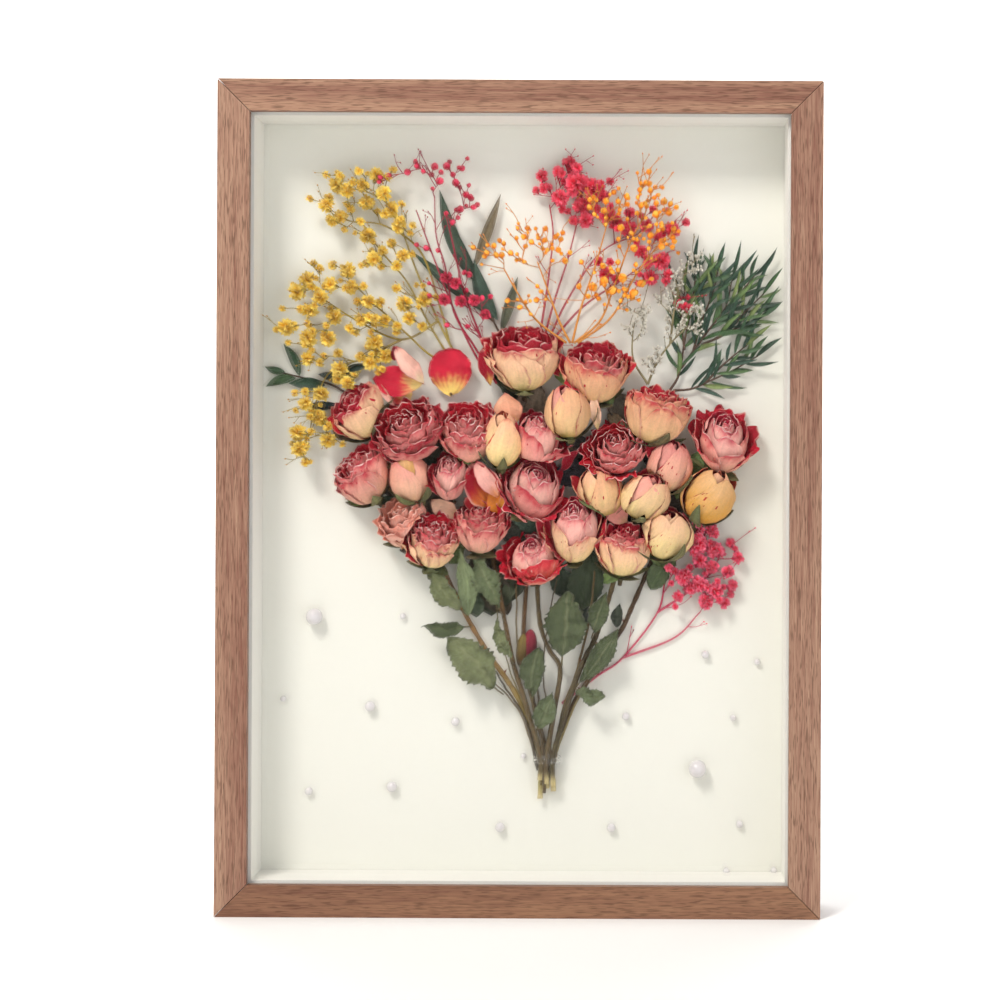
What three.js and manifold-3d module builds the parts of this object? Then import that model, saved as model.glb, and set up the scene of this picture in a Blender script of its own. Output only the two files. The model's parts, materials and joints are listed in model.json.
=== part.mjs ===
// A dried flower frame: a deep A3 picture frame of mitred moulding that holds a bouquet of dried
// roses, dyed gypsophila and foliage on a cream card behind clear glazing.
// Millimetres, +Z up, front towards -Y. The origin is the middle of the underside.

import * as THREE from 'three';
import Module from 'manifold-3d';
import { mergeVertices } from 'three/addons/utils/BufferGeometryUtils.js';

const wasm = await Module();
wasm.setup();

// Frame sizes
const SHEET_W = 297;
const SHEET_H = 420;
const LIP = 5;
const LIP_THICK = 5;
const FACE = 17;
const DEPTH = 45;
const GAP = 0.3;
const GLAZING_THICK = 2;
const HOLLOW = 30;
const SPACER_WALL = 6;
const CARD_THICK = 1.6;
const BACK_THICK = 2.5;
const TAB = { width: 9, length: 18, thick: 0.6, root: 4 };
const PLATE = { width: 40, height: 9, thick: 1.2, pocketDepth: 5.5 };

const OUTER_W = SHEET_W + 2 * (FACE - LIP);
const OUTER_H = SHEET_H + 2 * (FACE - LIP);
const MIDDLE_Z = OUTER_H / 2;
const FRONT = -DEPTH / 2;
const BACK = DEPTH / 2;
const GLAZING_FRONT = FRONT + LIP_THICK + GAP;
const SPACER_FRONT = GLAZING_FRONT + GLAZING_THICK + GAP;
const CARD_FRONT = SPACER_FRONT + HOLLOW + GAP;
const PANEL_FRONT = CARD_FRONT + CARD_THICK + GAP;

// Bouquet sizes
const MAX_BLOOM_DEPTH = 28;
const CLEARANCE = 0.3;
const STEM_R = 1.6;
const LOW_LAYER = 4.2;
const HIGH_LAYER = 7.8;
const LANCE_ROOT = 2;

const COLOURS = {
  walnut: 0x9a6a52, glass: 0xeef4f2, white: 0xeeece6, cream: 0xefeadb, fibreboard: 0x9c7a55,
  steel: 0xb8babb, red: 0xb0223a, pink: 0xd98a86, peach: 0xe8b487, yellowBud: 0xe6c36e,
  petalRed: 0xc81e3a, stem: 0x6a5a34, thread: 0xe4e2da, yellow: 0xe0c02e, crimson: 0xb3163a,
  scarlet: 0xd8243f, orange: 0xf08a1e, magenta: 0xe22a55, grey: 0xb7b2a2, leaf: 0x2f4a35,
  darkLeaf: 0x27402f, pearl: 0xf2f0ec,
};

function material(colour, roughness = 0.8, metalness = 0) {
  return new THREE.MeshStandardMaterial({ color: COLOURS[colour], roughness, metalness });
}

// Solids for joining and cutting

function toSolid(geometry) {
  const bare = geometry.index ? geometry.toNonIndexed() : geometry.clone();
  bare.deleteAttribute('uv');
  bare.deleteAttribute('normal');
  const merged = mergeVertices(bare, 1e-4);
  return new wasm.Manifold(new wasm.Mesh({
    numProp: 3,
    vertProperties: new Float32Array(merged.attributes.position.array),
    triVerts: new Uint32Array(merged.index.array),
  }));
}

function toGeometry(solid) {
  const { vertProperties, triVerts } = solid.getMesh();
  const geometry = new THREE.BufferGeometry();
  geometry.setAttribute('position', new THREE.BufferAttribute(vertProperties, 3));
  geometry.setIndex(new THREE.BufferAttribute(triVerts, 1));
  geometry.computeVertexNormals();
  return geometry;
}

function joined(geometries) {
  return geometries.map(toSolid).reduce((all, next) => all.add(next));
}

// The largest lump of a solid that a cut may have left in pieces
function largest(solid) {
  return solid.decompose().sort((a, b) => b.volume() - a.volume())[0];
}

// A repeatable number from 0 to 1 for the n-th item
function chance(n) {
  const value = Math.sin(n * 12.9898 + 4.1) * 43758.5453;
  return value - Math.floor(value);
}

// Frame pieces

function outline(points) {
  return new THREE.Shape(points.map(([x, z]) => new THREE.Vector2(x, z)));
}

function rectangle(width, height, x = 0, z = 0) {
  const [w, h] = [width / 2, height / 2];
  return [[x - w, z - h], [x + w, z - h], [x + w, z + h], [x - w, z + h]];
}

// An outline drawn from the front, extruded from one depth to another
function slab(shape, front, back) {
  const geometry = new THREE.ExtrudeGeometry(shape, { depth: back - front, bevelEnabled: false });
  geometry.rotateX(Math.PI / 2);
  geometry.translate(0, back, 0);
  return geometry;
}

function cuboid(width, depth, height, x, y, z) {
  return new THREE.BoxGeometry(width, depth, height).translate(x, y, z);
}

// A mitred rail along the lower edge of a frame of the given length, drawn about its centre
function railGeometry(length, reach) {
  const pull = GAP / Math.SQRT2;
  const long = length / 2 - pull;
  const short = length / 2 - FACE - pull;
  const bar = slab(outline([[-long, -reach], [long, -reach], [short, FACE - reach],
    [-short, FACE - reach]]), FRONT, BACK);
  const rebateFloor = FACE - LIP - reach;
  const rebateFront = FRONT + LIP_THICK;
  const rebate = cuboid(2 * length, DEPTH, 2 * FACE,
    0, rebateFront + DEPTH / 2, rebateFloor + FACE);
  const slot = cuboid(TAB.width + 2 * GAP, TAB.thick + 2 * GAP, 2 * TAB.root,
    0, tabDepth() + TAB.thick / 2, rebateFloor);
  return toSolid(bar).subtract(toSolid(rebate)).subtract(toSolid(slot));
}

function tabDepth() {
  return PANEL_FRONT + BACK_THICK + GAP;
}

function keyholePocket() {
  const z = -OUTER_H / 2 + (FACE - LIP) / 2;
  const seat = cuboid(PLATE.width + 2 * GAP, 2 * (PLATE.thick + GAP), PLATE.height + 2 * GAP,
    0, BACK, z);
  const hollow = cuboid(PLATE.width * 0.6, 2 * PLATE.pocketDepth, PLATE.height * 0.7, 0, BACK, z);
  return joined([seat, hollow]);
}

function rails(frame) {
  const across = railGeometry(OUTER_W, OUTER_H / 2);
  const upright = toGeometry(railGeometry(OUTER_H, OUTER_W / 2));
  const places = [
    ['rail_bottom', toGeometry(across), 0],
    ['rail_right', upright, -1],
    ['rail_top', toGeometry(across.subtract(keyholePocket())), 2],
    ['rail_left', upright, 1],
  ];
  for (const [name, geometry, quarterTurns] of places) {
    const rail = new THREE.Mesh(geometry, material('walnut', 0.55));
    rail.name = name;
    rail.rotation.y = quarterTurns * Math.PI / 2;
    frame.add(rail);
  }
}

function addSlab(frame, name, shape, front, back, look) {
  const mesh = new THREE.Mesh(slab(shape, 0, back - front), look);
  mesh.name = name;
  mesh.position.y = front;
  frame.add(mesh);
}

function sheets(frame) {
  const width = SHEET_W - 2 * GAP;
  const height = SHEET_H - 2 * GAP;
  const sheet = outline(rectangle(width, height));
  const ring = outline(rectangle(width, height));
  const inside = rectangle(width - 2 * SPACER_WALL, height - 2 * SPACER_WALL);
  ring.holes.push(new THREE.Path(inside.map(([x, z]) => new THREE.Vector2(x, z))));
  const glass = material('glass', 0.02);
  glass.transparent = true;
  glass.opacity = 0.2;
  addSlab(frame, 'glazing', sheet, GLAZING_FRONT, GLAZING_FRONT + GLAZING_THICK, glass);
  addSlab(frame, 'spacer_frame', ring, SPACER_FRONT, SPACER_FRONT + HOLLOW, material('white'));
  addSlab(frame, 'card', sheet, CARD_FRONT, CARD_FRONT + CARD_THICK, material('cream', 0.95));
  addSlab(frame, 'back_panel', sheet, PANEL_FRONT, PANEL_FRONT + BACK_THICK,
    material('fibreboard', 0.9));
}

// A flexible steel point: its root sits in a slot of the rail and its blade lies over the panel
function tabs(frame) {
  const nose = TAB.width / 2;
  const point = outline([[-nose, 0], [nose, 0], [nose, TAB.length - nose], [0, TAB.length],
    [-nose, TAB.length - nose]]);
  const places = [
    ['tab_bottom', SHEET_H / 2, 0], ['tab_right', SHEET_W / 2, -1],
    ['tab_top', SHEET_H / 2, 2], ['tab_left', SHEET_W / 2, 1],
  ];
  for (const [name, reach, quarterTurns] of places) {
    const geometry = slab(point, 0, TAB.thick);
    geometry.translate(0, tabDepth(), -reach - TAB.root + GAP);
    const tab = new THREE.Mesh(geometry, material('steel', 0.35, 1));
    tab.name = name;
    tab.rotation.y = quarterTurns * Math.PI / 2;
    frame.add(tab);
  }
}

function hangerPlate(frame) {
  const plate = outline(rectangle(PLATE.width, PLATE.height));
  const keyhole = new THREE.Path();
  keyhole.absarc(-6, 0, 3.2, 0.5, 2 * Math.PI - 0.5, false);
  keyhole.absarc(6, 0, 1.5, -Math.PI / 2, Math.PI / 2, false);
  plate.holes.push(keyhole);
  const geometry = new THREE.ExtrudeGeometry(plate,
    { depth: PLATE.thick, bevelEnabled: false, curveSegments: 4 });
  geometry.rotateX(Math.PI / 2);
  const hanger = new THREE.Mesh(geometry, material('steel', 0.4, 1));
  hanger.name = 'hanger_plate';
  hanger.position.set(0, BACK - GAP / 2, OUTER_H / 2 - (FACE - LIP) / 2);
  frame.add(hanger);
}

function caseOfFrame() {
  const frame = new THREE.Group();
  frame.position.z = MIDDLE_Z;
  rails(frame);
  sheets(frame);
  tabs(frame);
  hangerPlate(frame);
  return frame;
}

// Plant pieces are drawn over the card: x across, h the height above the card, z up

function point(x, h, z) {
  return new THREE.Vector3(x, -h, z);
}

// Directions across a plant piece that runs along a way: sideways, and away from the viewer
function acrossWay(way) {
  const away = new THREE.Vector3(0, 1, 0).addScaledVector(way, -way.y).normalize();
  return [new THREE.Vector3().crossVectors(away, way), away];
}

// A round bar through every point of a route
function tube(points, radius, sides = 3) {
  const last = points.length - 1;
  const geometry = new THREE.CylinderGeometry(radius, radius, last, sides, last);
  const place = geometry.attributes.position;
  for (let i = 0; i < place.count; i += 1) {
    const step = Math.round(place.getY(i) + last / 2);
    const way = points[Math.min(step + 1, last)].clone().sub(points[Math.max(step - 1, 0)]);
    const [side, away] = acrossWay(way.normalize());
    const spot = points[step].clone().addScaledVector(side, place.getX(i))
      .addScaledVector(away, -place.getZ(i));
    place.setXYZ(i, spot.x, spot.y, spot.z);
  }
  return geometry;
}

// A thin blade from its base to its tip. The outline gives its half width along it, cup lifts its
// edges, arch bends its length, and rise lifts all of it but its foot away from the card.
function blade({ base, tip, width, thick = 0.8, across = 2, along = 3, cup = 0, arch = 0, rise = 0,
  shape = (v) => Math.sin(Math.PI * v ** 0.8) }) {
  const length = base.distanceTo(tip);
  const geometry = new THREE.BoxGeometry(1, 1, 1, across, 1, along);
  const place = geometry.attributes.position;
  for (let i = 0; i < place.count; i += 1) {
    const u = 2 * place.getX(i);
    const v = rise ? (place.getZ(i) + 0.5) ** 1.5 : place.getZ(i) + 0.5;
    const half = Math.max(width / 2 * shape(v), thick / 2);
    const lift = cup * u * u * (2 * half / width) + arch * Math.sin(Math.PI * v)
      + rise * Math.min(1, 8 * v);
    place.setXYZ(i, u * half, place.getY(i) * thick - lift, v * length);
  }
  const up = tip.clone().sub(base).normalize();
  const [side, away] = acrossWay(up);
  return geometry.applyMatrix4(new THREE.Matrix4().makeBasis(side, away, up).setPosition(base));
}

// A narrow leaf that is pointed at both ends, its root a little inside what it grows from
function lance(base, tip, width, thick) {
  const way = tip.clone().sub(base).normalize();
  const root = base.clone().addScaledVector(way, -LANCE_ROOT);
  const leaf = new THREE.OctahedronGeometry(1).scale(width / 2, thick, root.distanceTo(tip) / 2);
  leaf.lookAt(way);
  return leaf.translate(...root.add(tip).multiplyScalar(0.5).toArray());
}

// Rose heads. Each outline runs from the calyx over the outer petals to the heart, as shares of
// the radius and the height.
const FORMS = {
  open: [[0, 0], [0.34, 0.02], [0.78, 0.22], [1, 0.6], [0.9, 0.92], [0.74, 0.74], [0.64, 1],
    [0.44, 0.8], [0.3, 0.98], [0, 0.86]],
  half: [[0, 0], [0.4, 0.02], [0.86, 0.26], [1, 0.56], [0.86, 0.9], [0.66, 0.8], [0.5, 1],
    [0.26, 0.84], [0, 0.94]],
  bud: [[0, 0], [0.5, 0.04], [0.94, 0.28], [1, 0.5], [0.84, 0.76], [0.5, 0.97], [0.3, 0.88],
    [0, 1]],
};
const SEGMENTS = 8;
const LOBES = 4;

// Heads from the front one to the hindmost: the middle, size and facing are in the card's own
// directions, and lift is the gap between the head and the card.
const HEADS = [
  { name: 'rose_crown', x: 0, z: 298, wide: 42, tall: 33, face: [0, 0.45, 0.9], form: 'open',
    colour: 'red', sepals: 0, lift: 1 },
  { name: 'rose_cream_right', x: 74, z: 268, wide: 33, tall: 29, face: [0.2, 0.45, 0.87],
    form: 'half', colour: 'peach', sepals: 2, lift: 1 },
  { name: 'rose_far_right', x: 109, z: 255, wide: 34, tall: 33, face: [0.1, 0.7, 0.7],
    form: 'open', colour: 'red', sepals: 0, lift: 1 },
  { name: 'rose_left_upper', x: -62, z: 259, wide: 35, tall: 32, face: [-0.15, 0.9, 0.35],
    form: 'open', colour: 'red', sepals: 0, lift: 1 },
  { name: 'rose_far_left_upper', x: -90, z: 269, wide: 29, tall: 28, face: [-0.55, 0.5, 0.65],
    form: 'half', colour: 'peach', sepals: 2, lift: 1 },
  { name: 'bud_cream_centre', x: -10, z: 254, wide: 19, tall: 27, face: [0, 0.35, 0.95],
    form: 'bud', colour: 'yellowBud', sepals: 2, lift: 7 },
  { name: 'bud_peach_centre', x: 25, z: 269, wide: 23, tall: 26, face: [-0.1, 0.35, 0.93],
    form: 'bud', colour: 'peach', sepals: 2, lift: 5 },
  { name: 'rose_dark_right', x: 49, z: 249, wide: 34, tall: 31, face: [-0.1, 0.9, 0.4],
    form: 'open', colour: 'red', sepals: 0, lift: 1 },
  { name: 'rose_far_left_middle', x: -87, z: 235, wide: 26, tall: 30, face: [-0.45, 0.45, 0.8],
    form: 'half', colour: 'pink', sepals: 2, lift: 1 },
  { name: 'rose_small_left', x: -40, z: 235, wide: 22, tall: 25, face: [-0.1, 0.8, 0.55],
    form: 'half', colour: 'pink', sepals: 0, lift: 4 },
  { name: 'rose_heart', x: 8, z: 228, wide: 38, tall: 35, face: [0.05, 0.75, 0.65],
    form: 'open', colour: 'red', sepals: 0, lift: 1 },
  { name: 'bud_pink_right', x: 67, z: 225, wide: 25, tall: 26, face: [0.3, 0.45, 0.85],
    form: 'bud', colour: 'pink', sepals: 2, lift: 5 },
  { name: 'rose_low_centre_right', x: 29, z: 206, wide: 34, tall: 33, face: [0, 0.65, 0.75],
    form: 'open', colour: 'red', sepals: 0, lift: 1 },
  { name: 'rose_bottom_centre', x: 6, z: 191, wide: 37, tall: 29, face: [-0.05, 0.8, 0.6],
    form: 'open', colour: 'red', sepals: 0, lift: 1 },
  { name: 'rose_ruffled_low_left', x: -50, z: 200, wide: 31, tall: 28, face: [0.1, 0.4, 0.9],
    form: 'half', colour: 'pink', sepals: 3, lift: 1 },
  { name: 'rose_low_right', x: 55, z: 196, wide: 32, tall: 28, face: [0.15, 0.4, 0.9],
    form: 'half', colour: 'pink', sepals: 2, lift: 1 },
  { name: 'rose_low_centre_left', x: -21, z: 207, wide: 28, tall: 26, face: [0.05, 0.4, 0.9],
    form: 'half', colour: 'pink', sepals: 2, lift: 1 },
  { name: 'bud_left_middle', x: -60, z: 233, wide: 22, tall: 25, face: [-0.35, 0.35, 0.87],
    form: 'bud', colour: 'peach', sepals: 2, lift: 4 },
  { name: 'rose_left_centre_upper', x: -29, z: 258, wide: 30, tall: 30, face: [0, 0.75, 0.65],
    form: 'open', colour: 'red', sepals: 0, lift: 1 },
  { name: 'rose_pink_centre', x: 11, z: 254, wide: 28, tall: 29, face: [0.15, 0.45, 0.88],
    form: 'half', colour: 'pink', sepals: 0, lift: 1 },
  { name: 'rose_crown_right', x: 40, z: 291, wide: 40, tall: 32, face: [0.05, 0.55, 0.83],
    form: 'open', colour: 'red', sepals: 0, lift: 1 },
  { name: 'bud_yellow_right', x: 101, z: 224, wide: 28, tall: 28, face: [0.35, 0.35, 0.87],
    form: 'bud', colour: 'yellowBud', sepals: 2, lift: 2 },
  { name: 'bud_cream_low', x: 41, z: 226, wide: 25, tall: 22, face: [-0.3, 0.35, 0.88],
    form: 'bud', colour: 'yellowBud', sepals: 0, lift: 1 },
  { name: 'bud_pink_back', x: 80, z: 240, wide: 22, tall: 25, face: [0.15, 0.35, 0.92],
    form: 'bud', colour: 'pink', sepals: 2, lift: 1 },
  { name: 'rose_peach_low_left', x: -64, z: 210, wide: 25, tall: 24, face: [-0.3, 0.5, 0.8],
    form: 'half', colour: 'peach', sepals: 0, lift: 1 },
  { name: 'bud_cream_back_right', x: 78, z: 202, wide: 26, tall: 24, face: [0.1, 0.4, 0.9],
    form: 'bud', colour: 'yellowBud', sepals: 0, lift: 1 },
];

// A head of petals about +Y, its outer ones in four lobes and the next row between them
function bloom(form, turn) {
  const rings = FORMS[form];
  const geometry = new THREE.LatheGeometry(rings.map(([r, y]) => new THREE.Vector2(r, y)),
    SEGMENTS);
  const place = geometry.attributes.position;
  for (let i = 0; i < place.count; i += 1) {
    const [x, y, z] = [place.getX(i), place.getY(i), place.getZ(i)];
    const angle = Math.atan2(z, x);
    const outer = Math.hypot(x, z) > 0.7 ? 1 : -1;
    const wave = outer * Math.cos(LOBES * angle) * 0.07 * Math.min(1, 2 * y);
    place.setXYZ(i, x * (1 + wave), y + wave * Math.hypot(x, z), z * (1 + wave));
  }
  return geometry.rotateY(turn);
}

// A sepal that hugs the lower side of a head about +Y
function sepal(angle) {
  const [c, s] = [Math.cos(angle), Math.sin(angle)];
  const base = new THREE.Vector3(0.28 * c, 0.04, 0.28 * s);
  const tip = new THREE.Vector3(1.05 * c, 0.5, 1.05 * s);
  const leaf = new THREE.OctahedronGeometry(1).scale(0.24, 0.07, base.distanceTo(tip) / 2);
  leaf.lookAt(tip.clone().sub(base));
  return leaf.translate(...base.add(tip).multiplyScalar(0.5).toArray());
}

function headSolid(head, seed) {
  const parts = [bloom(head.form, seed)];
  for (let i = 0; i < head.sepals; i += 1) {
    parts.push(sepal(2 * Math.PI * (i + 0.5 * chance(seed + i)) / head.sepals + seed));
  }
  const whole = toGeometry(joined(parts));
  const [fx, fh, fz] = head.face;
  const facing = point(fx, fh, fz).normalize();
  whole.applyQuaternion(new THREE.Quaternion()
    .setFromUnitVectors(new THREE.Vector3(0, 1, 0), facing));
  whole.computeBoundingBox();
  const size = whole.boundingBox.getSize(new THREE.Vector3());
  whole.center();
  const deep = Math.min(MAX_BLOOM_DEPTH, 0.95 * (head.wide + head.tall) / 2);
  whole.scale(head.wide / size.x, deep / size.y, head.tall / size.z);
  return { solid: toSolid(whole), middle: point(head.x, head.lift + deep / 2, head.z),
    reach: Math.min(head.wide, head.tall, deep) / 2 };
}

// The room that a head takes, without hollows and with a clearance all round
function roomOf(head) {
  const grow = 1 + 1.5 * CLEARANCE / head.reach;
  return head.solid.hull().scale([grow, grow, grow]).translate(head.middle.toArray());
}

function clearOf(solid, rooms) {
  return largest(rooms.reduce((rest, room) => rest.subtract(room), solid));
}

function heads(bouquet) {
  const rooms = [];
  HEADS.forEach((head, seed) => {
    const made = headSolid(head, seed);
    const [x, y, z] = made.middle.toArray();
    const placed = made.solid.translate([x, y, z]);
    const cut = clearOf(placed, rooms).translate([-x, -y, -z]);
    const mesh = new THREE.Mesh(toGeometry(cut), material(head.colour, 0.75));
    mesh.name = head.name;
    mesh.position.set(x, y, z);
    bouquet.add(mesh);
    rooms.push(roomOf(made));
  });
  return rooms;
}

function addPlant(bouquet, name, solid, look) {
  const mesh = new THREE.Mesh(toGeometry(solid), look);
  mesh.name = name;
  bouquet.add(mesh);
}

// Petals on their own: a round one, one folded over on itself, and a curled pair among the heads
function loosePetals(bouquet, rooms) {
  const round = (v) => Math.sqrt(Math.sin(Math.PI * (0.05 + 0.9 * v)));
  const petals = [
    ['petal_round', [
      { base: point(-39, 9, 278), tip: point(-40, 8, 303), width: 23, cup: 3, across: 4, along: 4 },
    ]],
    ['petal_folded', [
      { base: point(-57, 10, 286), tip: point(-78, 12, 279), width: 19, cup: 3, arch: 2 },
      { base: point(-57, 10, 285), tip: point(-65, 15, 300), width: 11, cup: 2, arch: 2 },
    ]],
    ['petal_cup', [
      { base: point(-15, 10, 218), tip: point(-26, 14, 240), width: 20, cup: 7 },
      { base: point(-17, 10, 219), tip: point(-13, 14, 233), width: 12, cup: 4 },
    ]],
  ];
  for (const [name, sizes] of petals) {
    const whole = joined(sizes.map((size) => blade({ ...size, shape: round })));
    addPlant(bouquet, name, clearOf(whole, rooms), material('petalRed'));
  }
}

// Rose stems. Each route runs from the cut end through the tie up to a head. The tie holds three
// of them in a low row and three in a high one.
const TIE = { x: 14, z: 80, pitch: 3.6, wide: 7.8, high: 5.2, radius: 0.5 };
const STEMS = [
  { name: 'stem_far_left', layer: LOW_LAYER,
    route: [[10.4, 58.5], [10.2, 80], [0, 109], [-8, 123], [-18, 137], [-31, 159], [-46, 190]],
    leaves: [
      { from: [-29, 152], to: [-51, 154], width: 11 },
      { from: [-8, 121], to: [-34, 143], width: 21 },
      { from: [-30, 158], to: [-51, 186], width: 13 },
    ] },
  { name: 'stem_centre_left', layer: LOW_LAYER,
    route: [[14, 64], [13.8, 82], [7, 108], [2, 134], [1, 150], [3, 184]],
    leaves: [
      { from: [6, 109], to: [10, 142], width: 14 },
      { from: [2, 128], to: [5, 150], width: 9 },
    ] },
  { name: 'stem_far_right', layer: LOW_LAYER,
    route: [[17.6, 62.5], [17.6, 82], [28, 109], [39, 127], [54, 150], [60, 163], [74, 196]],
    leaves: [
      { from: [29, 110], to: [53, 152], width: 14 },
      { from: [29, 116], to: [45, 118], width: 10 },
    ] },
  { name: 'stem_left', layer: HIGH_LAYER,
    route: [[10.4, 69], [10.4, 82], [3, 109], [-4, 131], [-8, 150], [-17, 196]],
    leaves: [
      { from: [-10, 158], to: [-24, 190], width: 17 },
      { from: [-4, 132], to: [-12, 158], width: 8 },
    ] },
  { name: 'stem_centre_right', layer: HIGH_LAYER,
    route: [[14, 67], [14, 82], [19, 112], [21, 130], [15, 140], [10, 155], [8, 182]],
    leaves: [
      { from: [20, 128], to: [30, 173], width: 25 },
      { from: [18, 116], to: [6, 95], width: 11 },
    ] },
  { name: 'stem_right', layer: HIGH_LAYER,
    route: [[17.6, 66], [17.6, 82], [26, 112], [34, 134], [40, 146], [46, 163], [53, 188]],
    leaves: [
      { from: [42, 150], to: [44, 172], width: 12 },
    ] },
];
const LEAF_RISE = 6;

// A leaf that leaves its stem by a short stalk and lies in front of it
function stemLeaf({ from, to, width }, layer, order) {
  return blade({ base: point(from[0], layer, from[1]), tip: point(to[0], layer + 1, to[1]), width,
    along: 4, cup: 1.4, rise: LEAF_RISE + 1.5 * order,
    shape: (v) => Math.sin(Math.PI * Math.max(0, (v - 0.1) / 0.9) ** 0.8) });
}

function stems(bouquet, rooms) {
  for (const { name, layer, route, leaves } of STEMS) {
    const line = route.map(([x, z]) => point(x, layer, z));
    const whole = joined([tube(line, STEM_R, 5),
      ...leaves.map((leaf, order) => stemLeaf(leaf, layer, order))]);
    addPlant(bouquet, name, clearOf(whole, rooms), material('stem'));
  }
}

// The thread round the stems: a ring drawn out sideways so that it clears the bundle
function tie(bouquet) {
  const ring = new THREE.TorusGeometry(TIE.high, TIE.radius, 4, 16);
  const place = ring.attributes.position;
  for (let i = 0; i < place.count; i += 1) {
    const angle = Math.atan2(place.getY(i), place.getX(i));
    place.setX(i, place.getX(i) + (TIE.wide - TIE.high) * Math.cos(angle));
  }
  const thread = new THREE.Mesh(ring, material('thread', 0.4));
  thread.name = 'thread_tie';
  thread.position.copy(point(TIE.x, (LOW_LAYER + HIGH_LAYER) / 2, TIE.z));
  bouquet.add(thread);
}

// Sprays: main stalks, and a thin stalk from them to each floret or bud. A tip is its place
// across and up and its radius.
const SPRAYS = [
  { name: 'spray_yellow', colour: 'yellow', lift: 5.5, spread: 6,
    stalks: [
      [[-38, 302], [-46, 318], [-58, 345], [-68, 372], [-78, 385], [-96, 391]],
      [[-46, 318], [-66, 308], [-90, 318], [-112, 332]],
      [[-66, 308], [-86, 298], [-105, 290], [-113, 272], [-116, 256]],
    ],
    tips: [[-103, 390, 4.2], [-93, 388, 4.2], [-81, 395, 4], [-104, 377, 4.2], [-86, 380, 4.2],
      [-70, 377, 4], [-82, 360, 4.4], [-65, 353, 3.8], [-94, 345, 4.2], [-104, 336, 4.4],
      [-118, 340, 4.4], [-123, 331, 4.4], [-127, 314, 4.4], [-104, 320, 4.2], [-84, 328, 4],
      [-64, 328, 4.2], [-53, 331, 4], [-116, 306, 4.6], [-99, 292, 4.4], [-80, 304, 4.6],
      [-110, 279, 4.2], [-118, 271, 4.2], [-120, 252, 4.8]] },
  { name: 'spray_crimson', colour: 'crimson', lift: 10, spread: 3,
    stalks: [[[-20, 292], [-30, 304], [-37, 322], [-42, 347], [-47, 364], [-48, 385]]],
    tips: [[-72, 397, 2.2], [-61, 399, 2.4], [-49, 401, 2.6], [-40, 401, 2.8], [-32, 399, 2.4],
      [-42, 392, 2.8], [-29, 386, 2.6], [-35, 377, 2.6], [-53, 357, 2.2], [-39, 340, 4.6],
      [-42, 329, 4.2], [-31, 328, 4.6], [-20, 322, 4]] },
  { name: 'spray_red', colour: 'scarlet', lift: 3, spread: 4,
    stalks: [
      [[8, 304], [12, 330], [14, 345], [16, 366], [14, 382]],
      [[14, 345], [27, 352], [42, 363], [62, 366]],
    ],
    tips: [[11, 397, 4.2], [20, 399, 4.2], [29, 391, 7.4], [39, 388, 6.4], [22, 382, 5.4],
      [34, 377, 5.6], [46, 375, 5.2], [57, 369, 5], [68, 371, 4.4], [81, 368, 4.8], [74, 350, 5.6],
      [68, 341, 5], [46, 345, 4.4]] },
  { name: 'spray_orange', colour: 'orange', lift: 14, spread: 3,
    stalks: [
      [[26, 306], [20, 318], [14, 334], [8, 350]],
      [[26, 306], [42, 314], [50, 338], [58, 360], [64, 372]],
    ],
    tips: [[-19, 354, 2.2], [-7, 353, 2.2], [3, 362, 2.2], [13, 361, 2.2], [-1, 325, 2.2],
      [67, 391, 2.2], [77, 381, 2.6], [61, 382, 2.4], [46, 381, 2.4], [53, 368, 2.4], [82, 362, 2.2],
      [37, 336, 3.2], [47, 337, 3.8], [56, 340, 3.4], [62, 334, 3.2]] },
  { name: 'spray_pink', colour: 'magenta', lift: 1.5, spread: 6,
    stalks: [
      [[22, 110], [41, 125], [55, 135], [74, 160], [79, 180], [92, 200]],
      [[74, 160], [92, 172], [104, 182]],
      [[55, 135], [83, 146], [97, 160]],
    ],
    tips: [[90, 202, 5.6], [104, 204, 4.8], [106, 194, 5.2], [98, 189, 5], [88, 180, 5.2],
      [85, 169, 4], [97, 177, 5.2], [106, 172, 5.2], [100, 165, 4.8], [116, 195, 2.4]] },
  { name: 'sea_lavender', colour: 'grey', lift: 11, spread: 1,
    stalks: [
      [[68, 284], [73, 296], [80, 306], [90, 316]],
      [[68, 284], [60, 298], [60, 316]],
      [[80, 306], [83, 330], [88, 345]],
    ],
    tips: [[67, 310, 2.2], [85, 319, 2.4], [94, 311, 2.2], [83, 348, 2.2], [92, 350, 2.2],
      [61, 322, 2.2]] },
];
const STALK_R = 0.7;
const TWIG_R = 0.4;

// The nearest place on the stalks that lies below a tip, so that its twig grows upwards
function footOf(tip, lines) {
  const places = lines.flatMap((line) => line.slice(1).flatMap((end, i) => (
    [0.1, 0.3, 0.5, 0.7, 0.9].map((share) => line[i].clone().lerp(end, share)))));
  const cost = (place) => place.distanceTo(tip) + 1.2 * Math.max(0, place.z + 6 - tip.z);
  return places.reduce((best, place) => (cost(place) < cost(best) ? place : best));
}

function spray({ lift, spread, stalks, tips }) {
  const lines = stalks.map((stalk) => stalk.map(([x, z]) => point(x, lift, z)));
  const parts = lines.map((line) => tube(line, STALK_R));
  tips.forEach((tip, i) => {
    const end = point(tip[0], lift + 0.9 * tip[2] + spread * chance(i), tip[1]);
    parts.push(tube([footOf(end, lines), end], TWIG_R));
    parts.push(new THREE.OctahedronGeometry(1.15 * tip[2]).translate(end.x, end.y, end.z));
  });
  return joined(parts);
}

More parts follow.
